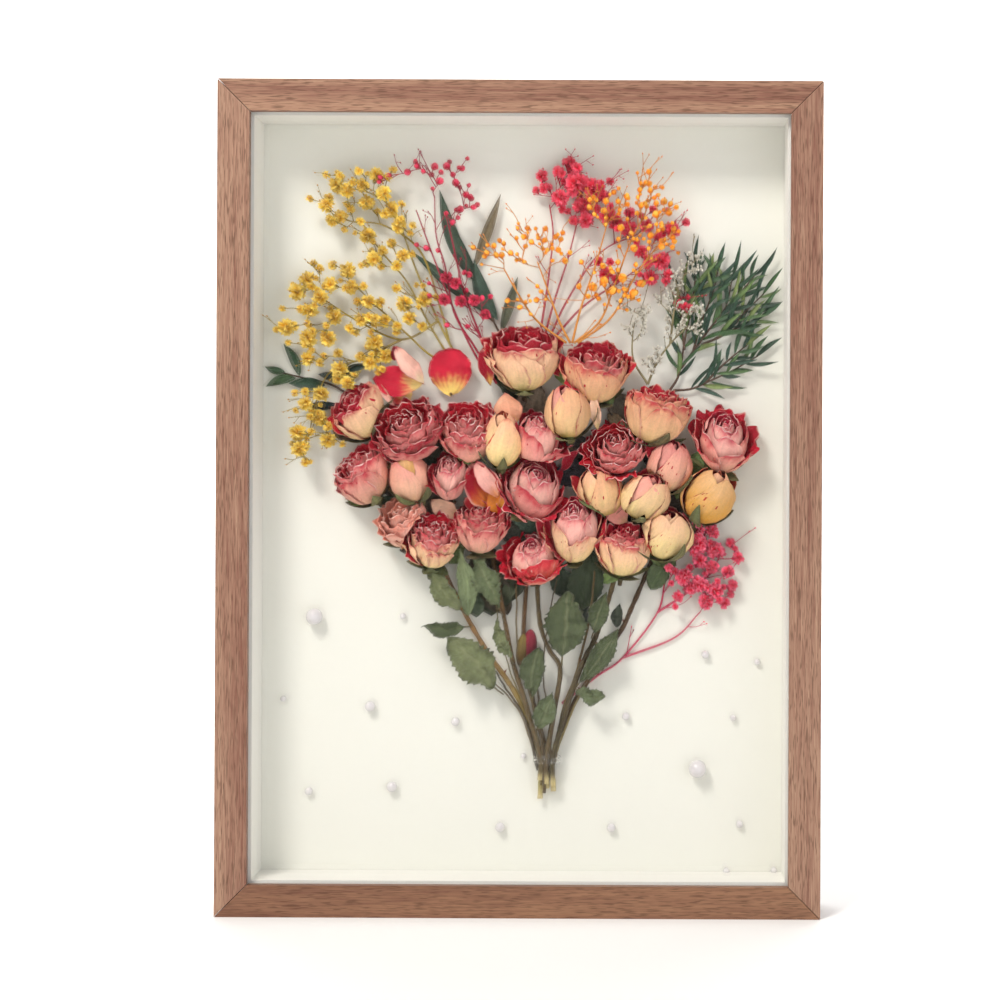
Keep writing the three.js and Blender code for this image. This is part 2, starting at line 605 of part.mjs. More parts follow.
// Foliage sprigs: a stalk, and blades from where they grow to their tips
const SPRIGS = [
  { name: 'lance_leaves', lift: 2.5,
    stalks: [[[-8, 302], [-16, 318], [-25, 340], [-28, 348]], [[-16, 318], [-32, 332]]],
    blades: [[[-28, 340], [-46, 390], 6], [[-26, 344], [-38, 371], 5], [[-27, 346], [-13, 388], 6],
      [[-31, 330], [-62, 357], 6], [[-24, 338], [-14, 320], 5], [[-12, 312], [-3, 343], 6]] },
  { name: 'oval_leaf_sprig', lift: 1.6,
    stalks: [[[-90, 274], [-104, 283], [-120, 287], [-137, 291]]],
    blades: [[[-122, 287], [-131, 306], 6], [[-130, 289], [-141, 294], 5],
      [[-126, 287], [-140, 281], 6], [[-110, 284], [-128, 279], 7], [[-108, 284], [-96, 289], 6.5],
      [[-97, 279], [-84, 295], 6], [[-100, 280], [-122, 270], 5.5]] },
];

function sprig({ lift, stalks, blades }) {
  const parts = stalks.map((stalk) => tube(stalk.map(([x, z]) => point(x, lift, z)), 0.9));
  blades.forEach(([[x0, z0], [x1, z1], width]) => {
    parts.push(lance(point(x0, lift, z0), point(x1, lift + 0.5, z1), width, 0.6));
  });
  return joined(parts);
}

// The needle-leaved branch: forked stalks with leaves on both sides
const NEEDLE = {
  lift: 3, shortest: 17, longer: 9, width: 3, thick: 0.5, pitch: 11.5, spread: 0.62,
  stalks: [
    [[81, 281], [86, 297], [89, 314], [95, 330], [101, 343]],
    [[86, 291], [101, 314], [109, 326], [113, 340]],
    [[97, 306], [110, 312], [121, 324], [128, 332]],
    [[82, 281], [101, 286], [114, 293]],
  ],
};

function needleFoliage() {
  const parts = [];
  for (const stalk of NEEDLE.stalks) {
    const line = stalk.map(([x, z]) => point(x, NEEDLE.lift, z));
    parts.push(tube(line, 0.9));
    const curve = new THREE.CatmullRomCurve3(line);
    const count = Math.floor(curve.getLength() / NEEDLE.pitch);
    for (let i = 1; i <= count; i += 1) {
      for (const side of i === count ? [0] : [-1, 1]) {
        const share = (i + 0.25 * side) / count;
        const way = curve.getTangentAt(share);
        way.applyAxisAngle(new THREE.Vector3(0, 1, 0), side * NEEDLE.spread);
        way.y = -0.2 * chance(parts.length);
        const length = NEEDLE.shortest + NEEDLE.longer * chance(parts.length + 1);
        const foot = curve.getPointAt(share);
        parts.push(lance(foot, foot.clone().addScaledVector(way, length), NEEDLE.width,
          NEEDLE.thick));
      }
    }
  }
  return joined(parts);
}

// The two large pearls, each with its middle and radius
const PEARLS = [
  { name: 'pearl_large_left', x: -113, z: 157, radius: 4.7 },
  { name: 'pearl_large_right', x: 96, z: 75, radius: 5 },
];

function pearls(bouquet) {
  for (const { name, x, z, radius } of PEARLS) {
    const bead = new THREE.Mesh(new THREE.SphereGeometry(radius, 10, 6), material('pearl', 0.25));
    bead.name = name;
    bead.position.copy(point(x, radius + GAP, z));
    bouquet.add(bead);
  }
}

function bouquetOnCard() {
  const bouquet = new THREE.Group();
  bouquet.position.y = CARD_FRONT;
  const rooms = heads(bouquet);
  loosePetals(bouquet, rooms);
  stems(bouquet, rooms);
  tie(bouquet);
  for (const entry of SPRAYS) {
    addPlant(bouquet, entry.name, clearOf(spray(entry), rooms), material(entry.colour));
  }
  for (const entry of SPRIGS) {
    addPlant(bouquet, entry.name, clearOf(sprig(entry), rooms), material('darkLeaf'));
  }
  addPlant(bouquet, 'needle_foliage', clearOf(needleFoliage(), rooms), material('leaf'));
  pearls(bouquet);
  return bouquet;
}

const driedFlowerFrame = new THREE.Group();
driedFlowerFrame.add(caseOfFrame(), bouquetOnCard());

export default driedFlowerFrame;
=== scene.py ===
"""Looks, petals, florets, leaves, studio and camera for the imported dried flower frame.

Positions over the card are given as (x, h, z) in millimetres: x across, h the height above the
card and z up from the underside of the frame. Everything is turned into metres as it is built.
"""

from __future__ import annotations

import json
import logging
import math
from dataclasses import dataclass
from enum import Enum

import bpy
import numpy as np
from bpy.types import Material, Node, NodeTree, Object
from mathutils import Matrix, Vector

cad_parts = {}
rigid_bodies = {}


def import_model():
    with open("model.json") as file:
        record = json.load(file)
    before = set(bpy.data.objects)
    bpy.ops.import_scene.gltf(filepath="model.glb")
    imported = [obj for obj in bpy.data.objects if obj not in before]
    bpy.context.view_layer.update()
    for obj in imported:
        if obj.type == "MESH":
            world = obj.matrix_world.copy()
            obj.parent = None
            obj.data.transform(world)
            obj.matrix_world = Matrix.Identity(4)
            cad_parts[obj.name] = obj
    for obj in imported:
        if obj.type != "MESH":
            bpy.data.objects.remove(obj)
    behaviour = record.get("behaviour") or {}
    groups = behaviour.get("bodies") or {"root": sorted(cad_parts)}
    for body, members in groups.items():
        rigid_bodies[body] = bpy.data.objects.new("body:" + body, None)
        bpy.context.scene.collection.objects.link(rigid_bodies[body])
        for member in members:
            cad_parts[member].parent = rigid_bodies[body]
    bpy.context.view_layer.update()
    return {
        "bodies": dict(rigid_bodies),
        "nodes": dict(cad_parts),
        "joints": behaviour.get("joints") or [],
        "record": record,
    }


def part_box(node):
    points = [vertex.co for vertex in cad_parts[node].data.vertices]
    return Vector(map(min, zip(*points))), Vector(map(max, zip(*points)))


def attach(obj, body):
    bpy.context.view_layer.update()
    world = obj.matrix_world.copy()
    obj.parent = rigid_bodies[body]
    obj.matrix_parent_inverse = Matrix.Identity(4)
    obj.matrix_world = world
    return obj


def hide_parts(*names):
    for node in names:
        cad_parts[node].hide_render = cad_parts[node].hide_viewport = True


LOG = logging.getLogger("dried_flower_frame")
MM = 0.001
# The y of the card's front and of the glazing's back, and a height above the bouquet, in mm.
CARD_FRONT = 15.4
GLAZING_BACK = -15.2
ABOVE_BOUQUET = 430.0
# Random phases run over about a full turn, in radians.
FULL_TURN = 6.3
GOLDEN_ANGLE = math.pi * (3 - math.sqrt(5))
Array = np.ndarray
Place = tuple[float, float]
Point = tuple[float, float, float]
Route = tuple[Place, ...]
Leaf = tuple[Place, Place, float]


# Numbers and colours


def linear(code: str) -> Array:
    """Turns an sRGB hex colour into linear values.

    Args:
        code: six hex digits with a leading hash.

    Returns:
        Red, green and blue as linear values from 0 to 1.
    """
    parts = [int(code[i : i + 2], 16) / 255 for i in (1, 3, 5)]
    return np.array([p / 12.92 if p <= 0.04045 else ((p + 0.055) / 1.055) ** 2.4 for p in parts])


def smooth(low: float, high: float, value: Array) -> Array:
    """A soft step from 0 at low to 1 at high.

    Args:
        low: where the step starts.
        high: where it ends.
        value: the values to step.

    Returns:
        The stepped values.
    """
    share = np.clip((value - low) / (high - low), 0, 1)
    return share * share * (3 - 2 * share)


def wrinkle(points: Array, size: float, seed: int) -> Array:
    """Soft repeatable noise, from about -1 to 1.

    Args:
        points: an array of points whose last axis holds x, y and z.
        size: the size of a wrinkle, in the units of the points.
        seed: chooses the pattern.

    Returns:
        One value for each point.
    """
    rng = np.random.default_rng(seed)
    total = np.zeros(points.shape[:-1])
    for octave in range(3):
        for _ in range(3):
            way = rng.normal(size=3)
            way *= 2 * math.pi * 1.7**octave / size / np.linalg.norm(way)
            bend = 0.8 * np.sin(points @ rng.permutation(way) * 0.6 + rng.uniform(0, FULL_TURN))
            total += np.sin(points @ way + bend + rng.uniform(0, FULL_TURN)) / 1.6**octave
    return total / 4.5


def draw_seed(rng: np.random.Generator) -> int:
    """Draws a seed for one pattern of wrinkles."""
    return int(rng.integers(1 << 30))


def dented(points: Array, rng: np.random.Generator, sizes: Place, depths: Place,
           sideways: float) -> tuple[Array, Array, Array]:
    """Dents a surface with wide dents and fine ones, mostly towards the viewer.

    Args:
        points: its grid of points, in millimetres.
        rng: random numbers.
        sizes: size of a wide and of a fine dent.
        depths: how deep both are.
        sideways: how far the points move sideways, as a share of that.

    Returns:
        The dented points, the pattern of the wide dents and that of the fine ones.
    """
    wide, fine = (wrinkle(points, size, draw_seed(rng)) for size in sizes)
    moved = (depths[0] * wide + depths[1] * fine)[..., None] * np.array([sideways, 1, sideways])
    return points + moved, wide, fine


def over_card(x: float, h: float, z: float) -> Array:
    """A point over the card in the frame's own millimetres.

    Args:
        x: across, to the right.
        h: height above the card, towards the viewer.
        z: up.

    Returns:
        The point as x, y and z.
    """
    return np.array([x, CARD_FRONT - h, z], float)


def hollow(reach: float) -> tuple[Array, Array]:
    """The hollow between card and glazing, a little clear of both.

    Args:
        reach: how far it reaches to either side, in millimetres.

    Returns:
        Its lowest and its highest corner.
    """
    return (np.array([-reach, GLAZING_BACK + 0.4, 0]),
            np.array([reach, CARD_FRONT - 0.1, ABOVE_BOUQUET]))


def unit(vector: Array) -> Array:
    """The vector at length 1.

    Args:
        vector: any vector.

    Returns:
        The vector divided by its length.
    """
    return vector / max(float(np.linalg.norm(vector)), 1e-9)


def basis(axis: Array, spin: float = 0.0, side: Array | None = None) -> Array:
    """Three directions whose last one is the axis.

    Args:
        axis: the direction that local z takes.
        spin: turn about it, in radians.
        side: the direction that local x keeps closest to.

    Returns:
        A 3 by 3 array whose rows are the images of local x, y and z.
    """
    axis = unit(np.asarray(axis, float))
    if side is None:
        side = np.cross([0.0, 0.0, 1.0] if abs(axis[2]) < 0.9 else [0.0, -1.0, 0.0], axis)
    side = unit(side - axis * (axis @ side))
    other = np.cross(axis, side)
    c, s = math.cos(spin), math.sin(spin)
    return np.array([c * side + s * other, c * other - s * side, axis])


# Meshes


class Basket:
    """Collects small surfaces with colours and joins them into one object."""

    def __init__(self) -> None:
        self.points: list[Array] = []
        self.faces: list[Array] = []
        self.colours: list[Array] = []
        self.grains: list[Array] = []
        self.count = 0

    def grid(self, points: Array, colours: Array, closed: bool = False) -> None:
        """Adds a surface from a grid of points.

        Args:
            points: rows by columns by 3, in millimetres.
            colours: linear colours of the same shape, or one colour.
            closed: whether the last column joins the first.
        """
        rows, columns = points.shape[:2]
        index = np.arange(rows * columns).reshape(rows, columns) + self.count
        right = np.roll(index, -1, axis=1) if closed else index[:, 1:]
        left = index if closed else index[:, :-1]
        quads = np.stack([left[:-1], right[:-1], right[1:], left[1:]], axis=-1).reshape(-1, 4)
        self.points.append(points.reshape(-1, 3))
        self.faces.append(quads)
        self.colours.append(np.broadcast_to(colours, points.shape).reshape(-1, 3))
        down, across = np.mgrid[0:1:rows * 1j, 0:1:columns * 1j]
        self.grains.append(np.stack([across, down], axis=-1).reshape(-1, 2))
        self.count += rows * columns

    def sheet(self, points: Array, outer: Array, inner: Array, thick: float) -> None:
        """Adds a thin closed skin: an outer face and an inner one that meet along every edge.

        Args:
            points: rows by columns by 3, the outer face, in millimetres.
            outer: its linear colours.
            inner: the linear colours of the other face.
            thick: the skin's thickness.
        """
        normal = np.cross(np.gradient(points, axis=1), np.gradient(points, axis=0))
        normal /= np.maximum(np.linalg.norm(normal, axis=-1, keepdims=True), 1e-9)
        near_side = np.linspace(-1, 1, points.shape[1])[None, :, None] ** 12
        behind = points - normal * thick * (1 - near_side)
        self.grid(np.concatenate([points, behind[::-1]]),
                  np.concatenate([np.broadcast_to(outer, points.shape),
                                  np.broadcast_to(inner, points.shape)[::-1]]))

    def tube(self, line: Array, radii: Array, colours: Array, sides: int = 6) -> None:
        """Adds a round bar along a line, closed at both ends by narrowing.

        Args:
            line: points along it, n by 3, in millimetres.
            radii: its radius at each point.
            colours: n by 3 linear colours, or one colour.
            sides: how many sides it has.
        """
        ways = np.gradient(line, axis=0)
        ways /= np.maximum(np.linalg.norm(ways, axis=1, keepdims=True), 1e-9)
        away = np.array([0.0, -1.0, 0.0]) - ways * (-ways[:, 1:2])
        away /= np.maximum(np.linalg.norm(away, axis=1, keepdims=True), 1e-9)
        side = np.cross(ways, away)
        turn = np.linspace(0, 2 * math.pi, sides, endpoint=False)
        cosines, sines = np.cos(turn)[None, :, None], np.sin(turn)[None, :, None]
        ring = side[:, None] * cosines + away[:, None] * sines
        points = line[:, None] + ring * np.asarray(radii)[:, None, None]
        points = np.concatenate([np.repeat(line[:1, None], sides, 1), points,
                                 np.repeat(line[-1:, None], sides, 1)])
        tints = np.broadcast_to(colours, line.shape)
        tints = np.concatenate([tints[:1], tints, tints[-1:]])
        self.grid(points, tints[:, None] * np.ones((1, sides, 1)), closed=True)

    def ball(self, centre: Array, size: Array, turn: Array, colours: tuple[Array, Array],
             rows: int = 6, columns: int = 8) -> None:
        """Adds an egg shape.

        Args:
            centre: its middle.
            size: its half sizes along its own axes.
            turn: its own axes as rows.
            colours: the linear colours of its foot and its top.
            rows: rings from foot to top.
            columns: points round each ring.
        """
        up = np.linspace(-math.pi / 2, math.pi / 2, rows + 1)[:, None]
        round_ = np.linspace(0, 2 * math.pi, columns, endpoint=False)[None, :]
        local = np.stack([np.cos(up) * np.cos(round_), np.cos(up) * np.sin(round_),
                          np.sin(up) * np.ones_like(round_)], axis=-1) * size
        share = ((np.sin(up) + 1) / 2 * np.ones_like(round_))[..., None]
        tints = np.array(colours[0]) * (1 - share) + np.array(colours[1]) * share
        self.grid(local @ turn + centre, tints, closed=True)

    def build(self, name: str, material: Material,
              keep: tuple[Array, Array] | None = None) -> Object:
        """Makes the object.

        Args:
            name: the object's name.
            material: its only material.
            keep: lowest and highest corner, in millimetres, that the points are held within.

        Returns:
            The object, linked to the scene.
        """
        points = np.concatenate(self.points)
        if keep is not None:
            points = np.clip(points, keep[0], keep[1])
        faces = np.concatenate(self.faces)
        mesh = bpy.data.meshes.new(name)
        mesh.vertices.add(len(points))
        mesh.vertices.foreach_set("co", (points * MM).astype(np.float32).ravel())
        mesh.loops.add(faces.size)
        mesh.loops.foreach_set("vertex_index", faces.astype(np.int32).ravel())
        mesh.polygons.add(len(faces))
        mesh.polygons.foreach_set("loop_start", np.arange(0, faces.size, 4, dtype=np.int32))
        mesh.polygons.foreach_set("use_smooth", np.ones(len(faces), bool))
        mesh.update(calc_edges=True)
        tints = np.concatenate(self.colours)
        colour = mesh.color_attributes.new("Col", "FLOAT_COLOR", "POINT")
        four = np.concatenate([np.clip(tints, 0, 1), np.ones((len(tints), 1))], axis=1)
        colour.data.foreach_set("color", four.astype(np.float32).ravel())
        grain = mesh.uv_layers.new(name="Grain")
        places = np.concatenate(self.grains)[faces.ravel()]
        grain.data.foreach_set("uv", places.astype(np.float32).ravel())
        mesh.materials.append(material)
        mesh.validate()
        made = bpy.data.objects.new(name, mesh)
        bpy.context.scene.collection.objects.link(made)
        return made


# Finishes


def add_node(tree: NodeTree, kind: str, settings: dict | None = None,
             links: dict | None = None) -> Node:
    """Adds one shader node.

    Args:
        tree: the node tree.
        kind: the node's type name.
        settings: values for its sockets, by name or number, or for its own properties.
        links: sockets of other nodes to join to its inputs, by name or number.

    Returns:
        The node.
    """
    node = tree.nodes.new(kind)
    for key, value in (settings or {}).items():
        if isinstance(key, int) or key in node.inputs:
            node.inputs[key].default_value = value
        else:
            setattr(node, key, value)
    for key, source in (links or {}).items():
        tree.links.new(source, node.inputs[key])
    return node


class Finish:
    """Base of all finishes: a material with one principled shader."""

    name: str

    def start(self) -> tuple[Material, NodeTree, Node]:
        """Makes the empty material.

        Returns:
            The material, its node tree and its principled shader.
        """
        material = bpy.data.materials.new(self.name)
        material.use_nodes = True
        tree = material.node_tree
        return material, tree, tree.nodes["Principled BSDF"]


class Axis(Enum):
    """The way that the grain of a rail runs."""

    ACROSS = 0
    UPRIGHT = 2


@dataclass(frozen=True)
class WoodFoil(Finish):
    """Walnut printed on paper foil, lacquered satin and wrapped round a fibreboard moulding.

    The print gives fine straight lines, broad bands and short dark pores, each with its width
    and length in millimetres. The lacquer gives one even, dim sheen over light and dark.
    """

    name: str = "walnut_foil"
    along: Axis = Axis.UPRIGHT
    light: str = "#a8846c"
    dark: str = "#7b4f3e"
    pore: str = "#54341f"
    lines: Place = (0.8696, 25.0)
    bands: Place = (9.0909, 384.6)
    pores: Place = (0.5263, 7.6923)

    def build(self) -> Material:
        """Makes the material, its grain drawn out along one axis of the frame."""
        material, tree, shader = self.start()
        coord = add_node(tree, "ShaderNodeTexCoord")
        noises = []
        for (width, length), settings in ((self.lines, {"Detail": 5.0, "Roughness": 0.62}),
                                          (self.bands, {"Detail": 3.0, "Distortion": 0.4}),
                                          (self.pores, {"Detail": 1.0})):
            scale = [1000 / width] * 3
            scale[self.along.value] = 1000 / length
            drawn = add_node(tree, "ShaderNodeMapping", {"Scale": scale},
                             {"Vector": coord.outputs["Object"]})
            noises.append(add_node(tree, "ShaderNodeTexNoise", {"Scale": 1.0, **settings},
                                   {"Vector": drawn.outputs[0]}))
        grain, band, pores = noises
        mixed = add_node(tree, "ShaderNodeMath", {"operation": "MULTIPLY_ADD", 1: 0.55, 2: -0.02},
                         {0: grain.outputs[0]})
        shares = add_node(tree, "ShaderNodeMath", {"operation": "MULTIPLY_ADD", 1: 0.5},
                          {0: band.outputs[0], 2: mixed.outputs[0]})
        ramp = add_node(tree, "ShaderNodeValToRGB", links={0: shares.outputs[0]})
        ramp.color_ramp.elements[0].position = 0.39
        ramp.color_ramp.elements[0].color = (*linear(self.dark), 1)
        ramp.color_ramp.elements[1].position = 0.62
        ramp.color_ramp.elements[1].color = (*linear(self.light), 1)
        cut = add_node(tree, "ShaderNodeMapRange", {1: 0.54, 2: 0.66, 3: 0.0, 4: 0.66},
                       {0: pores.outputs[0]})
        tint = add_node(tree, "ShaderNodeMix", {"data_type": "RGBA", 7: (*linear(self.pore), 1)},
                        {0: cut.outputs[0], 6: ramp.outputs[0]})
        tree.links.new(tint.outputs[2], shader.inputs["Base Color"])
        shader.inputs["Roughness"].default_value = 0.48
        shader.inputs["IOR"].default_value = 1.48
        bump = add_node(tree, "ShaderNodeBump", {"Strength": 0.25, "Distance": 0.0002},
                        {"Height": grain.outputs[0]})
        tree.links.new(bump.outputs[0], shader.inputs["Normal"])
        return material


@dataclass(frozen=True)
class Plain(Finish):
    """One even material, such as board, card, steel or pearl.

    Its grain is the size of its fibres in millimetres, or 0 for none, and its speckle says how
    much they differ from its colour.
    """

    name: str
    colour: str
    roughness: float = 0.7
    metallic: float = 0.0
    ior: float = 1.5
    grain: float = 0.0
    coat: float = 0.0
    speckle: float = 0.0

    def build(self) -> Material:
        """Makes the material, with a fine fibre relief if it has a grain size in millimetres."""
        material, tree, shader = self.start()
        shader.inputs["Base Color"].default_value = (*linear(self.colour), 1)
        shader.inputs["Roughness"].default_value = self.roughness
        shader.inputs["Metallic"].default_value = self.metallic
        shader.inputs["IOR"].default_value = self.ior
        shader.inputs["Coat Weight"].default_value = self.coat
        if self.grain:
            coord = add_node(tree, "ShaderNodeTexCoord")
            fibre = add_node(tree, "ShaderNodeTexNoise",
                             {"Scale": 1000 / self.grain, "Detail": 4.0},
                             {"Vector": coord.outputs["Object"]})
            bump = add_node(tree, "ShaderNodeBump", {"Strength": 0.12, "Distance": 0.0001},
                            {"Height": fibre.outputs[0]})
            tree.links.new(bump.outputs[0], shader.inputs["Normal"])
        if self.grain and self.speckle:
            shade = add_node(tree, "ShaderNodeMapRange",
                             {1: 0.35, 2: 0.65, 3: 1 - self.speckle, 4: 1 + self.speckle},
                             {0: fibre.outputs[0]})
            tint = add_node(tree, "ShaderNodeMix",
                            {"data_type": "RGBA", "blend_type": "MULTIPLY", 0: 1.0,
                             6: (*linear(self.colour), 1)}, {7: shade.outputs[0]})
            tree.links.new(tint.outputs[2], shader.inputs["Base Color"])
        return material


@dataclass(frozen=True)
class Glazing(Finish):
    """Cast clear plastic: hardly a reflection, and a low alpha that lets light in without noise."""

    name: str = "clear_acrylic"
    alpha: float = 0.12

    def build(self) -> Material:
        """Makes the material, smooth and clear."""
        material, _, shader = self.start()
        shader.inputs["Base Color"].default_value = (0.98, 0.99, 0.985, 1)
        shader.inputs["Roughness"].default_value = 0.0
        shader.inputs["IOR"].default_value = 1.49
        shader.inputs["Transmission Weight"].default_value = 1.0
        shader.inputs["Alpha"].default_value = self.alpha
        return material


@dataclass(frozen=True)
class Dried(Finish):
    """Air-dried plant skin with the colours of its mesh: papery, mottled and dull.

    It has a number of veins side by side, from foot to tip, and mottles of a size in
    millimetres. Both differ by depth in tone and stand out by relief.
    """

    name: str
    roughness: float = 0.72
    vein: float = 24.0
    mottle: float = 1.4
    depth: float = 0.25
    relief: float = 0.5
    sheen: float = 0.15

    def build(self) -> Material:
        """Makes the material from the mesh colours, vein lines and mottling."""
        material, tree, shader = self.start()
        colour = add_node(tree, "ShaderNodeVertexColor", {"layer_name": "Col"})
        coord = add_node(tree, "ShaderNodeTexCoord")
        spots = add_node(tree, "ShaderNodeTexNoise",
                         {"Scale": 1000 / self.mottle, "Detail": 3.0, "Roughness": 0.6},
                         {"Vector": coord.outputs["Object"]})
        grain = add_node(tree, "ShaderNodeUVMap", {"uv_map": "Grain"})
        stretch = add_node(tree, "ShaderNodeMapping", {"Scale": (self.vein, 2.2, 1.0)},
                           {"Vector": grain.outputs[0]})
        veins = add_node(tree, "ShaderNodeTexNoise", {"Scale": 1.0, "Detail": 2.0},
                         {"Vector": stretch.outputs[0]})
        both = add_node(tree, "ShaderNodeMath", {"operation": "ADD"},
                        {0: spots.outputs[0], 1: veins.outputs[0]})
        shade = add_node(tree, "ShaderNodeMapRange",
                         {1: 0.7, 2: 1.3, 3: 1 - self.depth, 4: 1 + self.depth},
                         {0: both.outputs[0]})
        tint = add_node(tree, "ShaderNodeMix",
                        {"data_type": "RGBA", "blend_type": "MULTIPLY", 0: 1.0},
                        {6: colour.outputs[0], 7: shade.outputs[0]})
        tree.links.new(tint.outputs[2], shader.inputs["Base Color"])
        shader.inputs["Roughness"].default_value = self.roughness
        shader.inputs["IOR"].default_value = 1.42
        shader.inputs["Sheen Weight"].default_value = self.sheen
        bump = add_node(tree, "ShaderNodeBump", {"Strength": self.relief, "Distance": 0.0003},
                        {"Height": both.outputs[0]})
        tree.links.new(bump.outputs[0], shader.inputs["Normal"])
        return material


# Rose heads


class Form(Enum):
    """How far a head has opened."""

    BUD = "bud"
    HALF = "half"
    OPEN = "open"
    FULL = "full"
    BALL = "ball"


@dataclass(frozen=True)
class Tints:
    """Colours of a petal that is pale outside and deep red inside, as two-coloured roses are.

    Attributes:
        foot: its outer face where it grows.
        body: its outer face in the middle.
        blush: its outer face towards the rim.
        edge: the line that the outer face has along its rim.
        rim: the very edge, paler: partly its own dried colour, partly a painted highlight where the
            rolled edge catches light.
        face: its inner face.
        heart: the foot of its inner face; where it is dark red, it is painted shade in the head's
            deep pits.
        bleed: how far the inner colour runs down the outer face, as a share of the petal.
    """

    foot: str
    body: str
    blush: str
    edge: str
    rim: str
    face: str
    heart: str
    bleed: float = 0.06

    def paint(self, along: Array, side: Array, stain: Array, streak: Array) -> tuple[Array, Array]:
        """The colours of both faces.

        Args:
            along: how far each point lies from foot to rim.
            side: how far it lies from the middle line to a side edge.
            stain: soft blotches from about -1 to 1.
            streak: fine streaks from about -1 to 1.

        Returns:
            Linear colours of the outer face and of the inner face.
        """
        place = np.clip(along + 0.13 * stain + 0.05 * streak, 0, 1)
        tones = np.array([linear(c) for c in (self.foot, self.body, self.blush)])
        outer = np.stack([np.interp(place, (0.04, 0.38, 0.82), tones[:, i]) for i in range(3)], -1)
        face, heart = linear(self.face), linear(self.heart)
        start = 1 - self.bleed
        ragged = (0.14 * streak + 0.05 * stain) * smooth(start - 0.25, start, along)
        bleed = smooth(start - 0.12, start + 0.1, along + ragged)[..., None]
        outer = outer * (1 - 0.85 * bleed) + face * 0.85 * bleed
        far = np.maximum(along, np.where(along > 0.12, side, 0))
        patchy = np.clip(0.6 + 0.5 * stain + 0.5 * streak, 0.15, 1)[..., None]
        line = smooth(0.9, 0.985, far)[..., None] * (0.35 + 0.5 * patchy)
        outer = outer * (1 - line) + linear(self.edge) * line
        # The inner face turns to the heart colour at its foot: where the heart is dark red, this is
        # painted shade in the deep pits of the head.
        low = smooth(0.45, 0.1, along + 0.1 * streak)[..., None]
        inner = face * (1 - low) + heart * low
        # A pale line along the very edge: partly the dried edge's own colour, partly a painted
        # highlight where the rolled edge catches light.
        rim = smooth(0.978, 1.0, far)[..., None] * (0.12 + 0.8 * patchy)
        pale = linear(self.rim)
        return outer * (1 - rim) + pale * rim, inner * (1 - rim) + pale * rim


# In BLUSH, PINK, PALE, CROWN, RUFFLED and SCARLET the heart is a dark red: painted shade in a
# head's deep pits. In the others it is the petal's own golden foot.
CREAM = Tints("#c8b454", "#eed494", "#eebe98", "#b43444", "#ecc0b0", "#b00a26", "#d8a24a", 0.03)
PEACH = Tints("#c4ac54", "#e6c08a", "#dfa680", "#b63a40", "#ecc0a8", "#b81a2e", "#d8a24a", 0.05)
YELLOW = Tints("#c08c1a", "#eed692", "#f0b892", "#c86450", "#efcfae", "#c4523a", "#dcaa46", 0.02)
ORANGE = Tints("#c68a1a", "#dda242", "#e4b47e", "#b84c3e", "#efcfae", "#b43c2c", "#dcaa46", 0.03)
BLUSH = Tints("#dcc280", "#ecb898", "#e49a8c", "#ac2038", "#f4cec0", "#b40d2a", "#a03c34", 0.07)
PINK = Tints("#e0be82", "#ebae9a", "#de8c84", "#a61832", "#f4cec2", "#b20d2a", "#8e2430", 0.1)
PALE = Tints("#ecd098", "#f2c8b0", "#ecaea2", "#b03046", "#fbe2d8", "#c2304a", "#a83a44", 0.03)
CROWN = Tints("#e2bc80", "#eca488", "#dc6466", "#a61030", "#f2cec2", "#b60a26", "#7a1220", 0.34)
RUFFLED = Tints("#ecc08c", "#efb29e", "#e48e88", "#b01430", "#fde8e0", "#bc0826", "#7a1020", 0.0)
SALMON = Tints("#e4c488", "#ecbea2", "#e8ab9a", "#d88070", "#fadfce", "#e4927c", "#d4a86e", 0.03)
SCARLET = Tints("#efca92", "#f2ae90", "#ea7e72", "#c01432", "#fbe0d4", "#c60a2a", "#9c3428", 0.2)


@dataclass(frozen=True)
class Growth:
    """How the petals change from the outermost, by way of the middle ones, to the innermost.

    Attributes:
        count: how many petals.
        reach: distance from the axis at the widest.
        top: height of the rim.
        close: how far a petal curves, in radians: past a quarter turn it closes inwards.
        width: half the angle that it takes up.
        curl: how far its rim rolls outwards.
        ruffle: how wavy its rim is.
        crumple: how dented it is.
        slope: how much lower its rim is at the sides.
        taper: how much the head narrows towards its tip.
        whirl: how far a petal leans round the head, in radians.
        turn: the share of the petals after which the middle ones begin.
    """

    count: int
    reach: Point
    top: Point
    close: Point
    width: Point
    curl: Point
    ruffle: Point
    crumple: tuple[float, float, float] = (0.8, 1.0, 0.8)
    slope: float = 0.16
    taper: float = 0.0
    whirl: float = 0.0
    turn: float = 0.5


GROWTH = {
    Form.FULL: Growth(33, (1.0, 0.76, 0.08), (1.04, 1.3, 1.32), (1.6, 2.0, 2.3),
                      (0.85, 0.95, 1.7), (0.05, 0.05, 0.01), (0.028, 0.036, 0.016), (1.1, 1.5, 1.1),
                      0.18, 0.0, 0.14),
    Form.OPEN: Growth(27, (1.0, 0.8, 0.08), (1.04, 1.34, 1.42), (1.5, 2.2, 2.5),
                      (0.88, 1.15, 1.9), (0.1, 0.04, 0.0), (0.032, 0.024, 0.008), (1.1, 1.1, 0.8),
                      0.18, 0.0, 0.3, 0.4),
    Form.BALL: Growth(25, (1.0, 0.78, 0.1), (1.1, 1.36, 1.4), (1.42, 2.5, 2.6),
                      (0.88, 1.3, 1.9), (0.1, 0.01, 0.0), (0.034, 0.014, 0.006), (1.1, 0.9, 0.6),
                      0.18, 0.0, 0.45, 0.24),
    Form.HALF: Growth(25, (1.0, 0.8, 0.08), (1.42, 1.62, 1.56), (1.82, 2.05, 2.3),
                      (0.95, 1.05, 1.7), (0.02, 0.07, 0.02), (0.014, 0.038, 0.02), (0.95, 1.5, 1.3),
                      0.22, 0.03, 0.16),
    Form.BUD: Growth(9, (1.0, 0.8, 0.12), (2.0, 2.1, 2.06), (2.56, 2.76, 2.6),
                     (1.25, 1.4, 1.8), (0.01, 0.0, 0.0), (0.01, 0.008, 0.0), (0.8, 0.6, 0.4),
                     0.34, 0.16, 0.6),
}


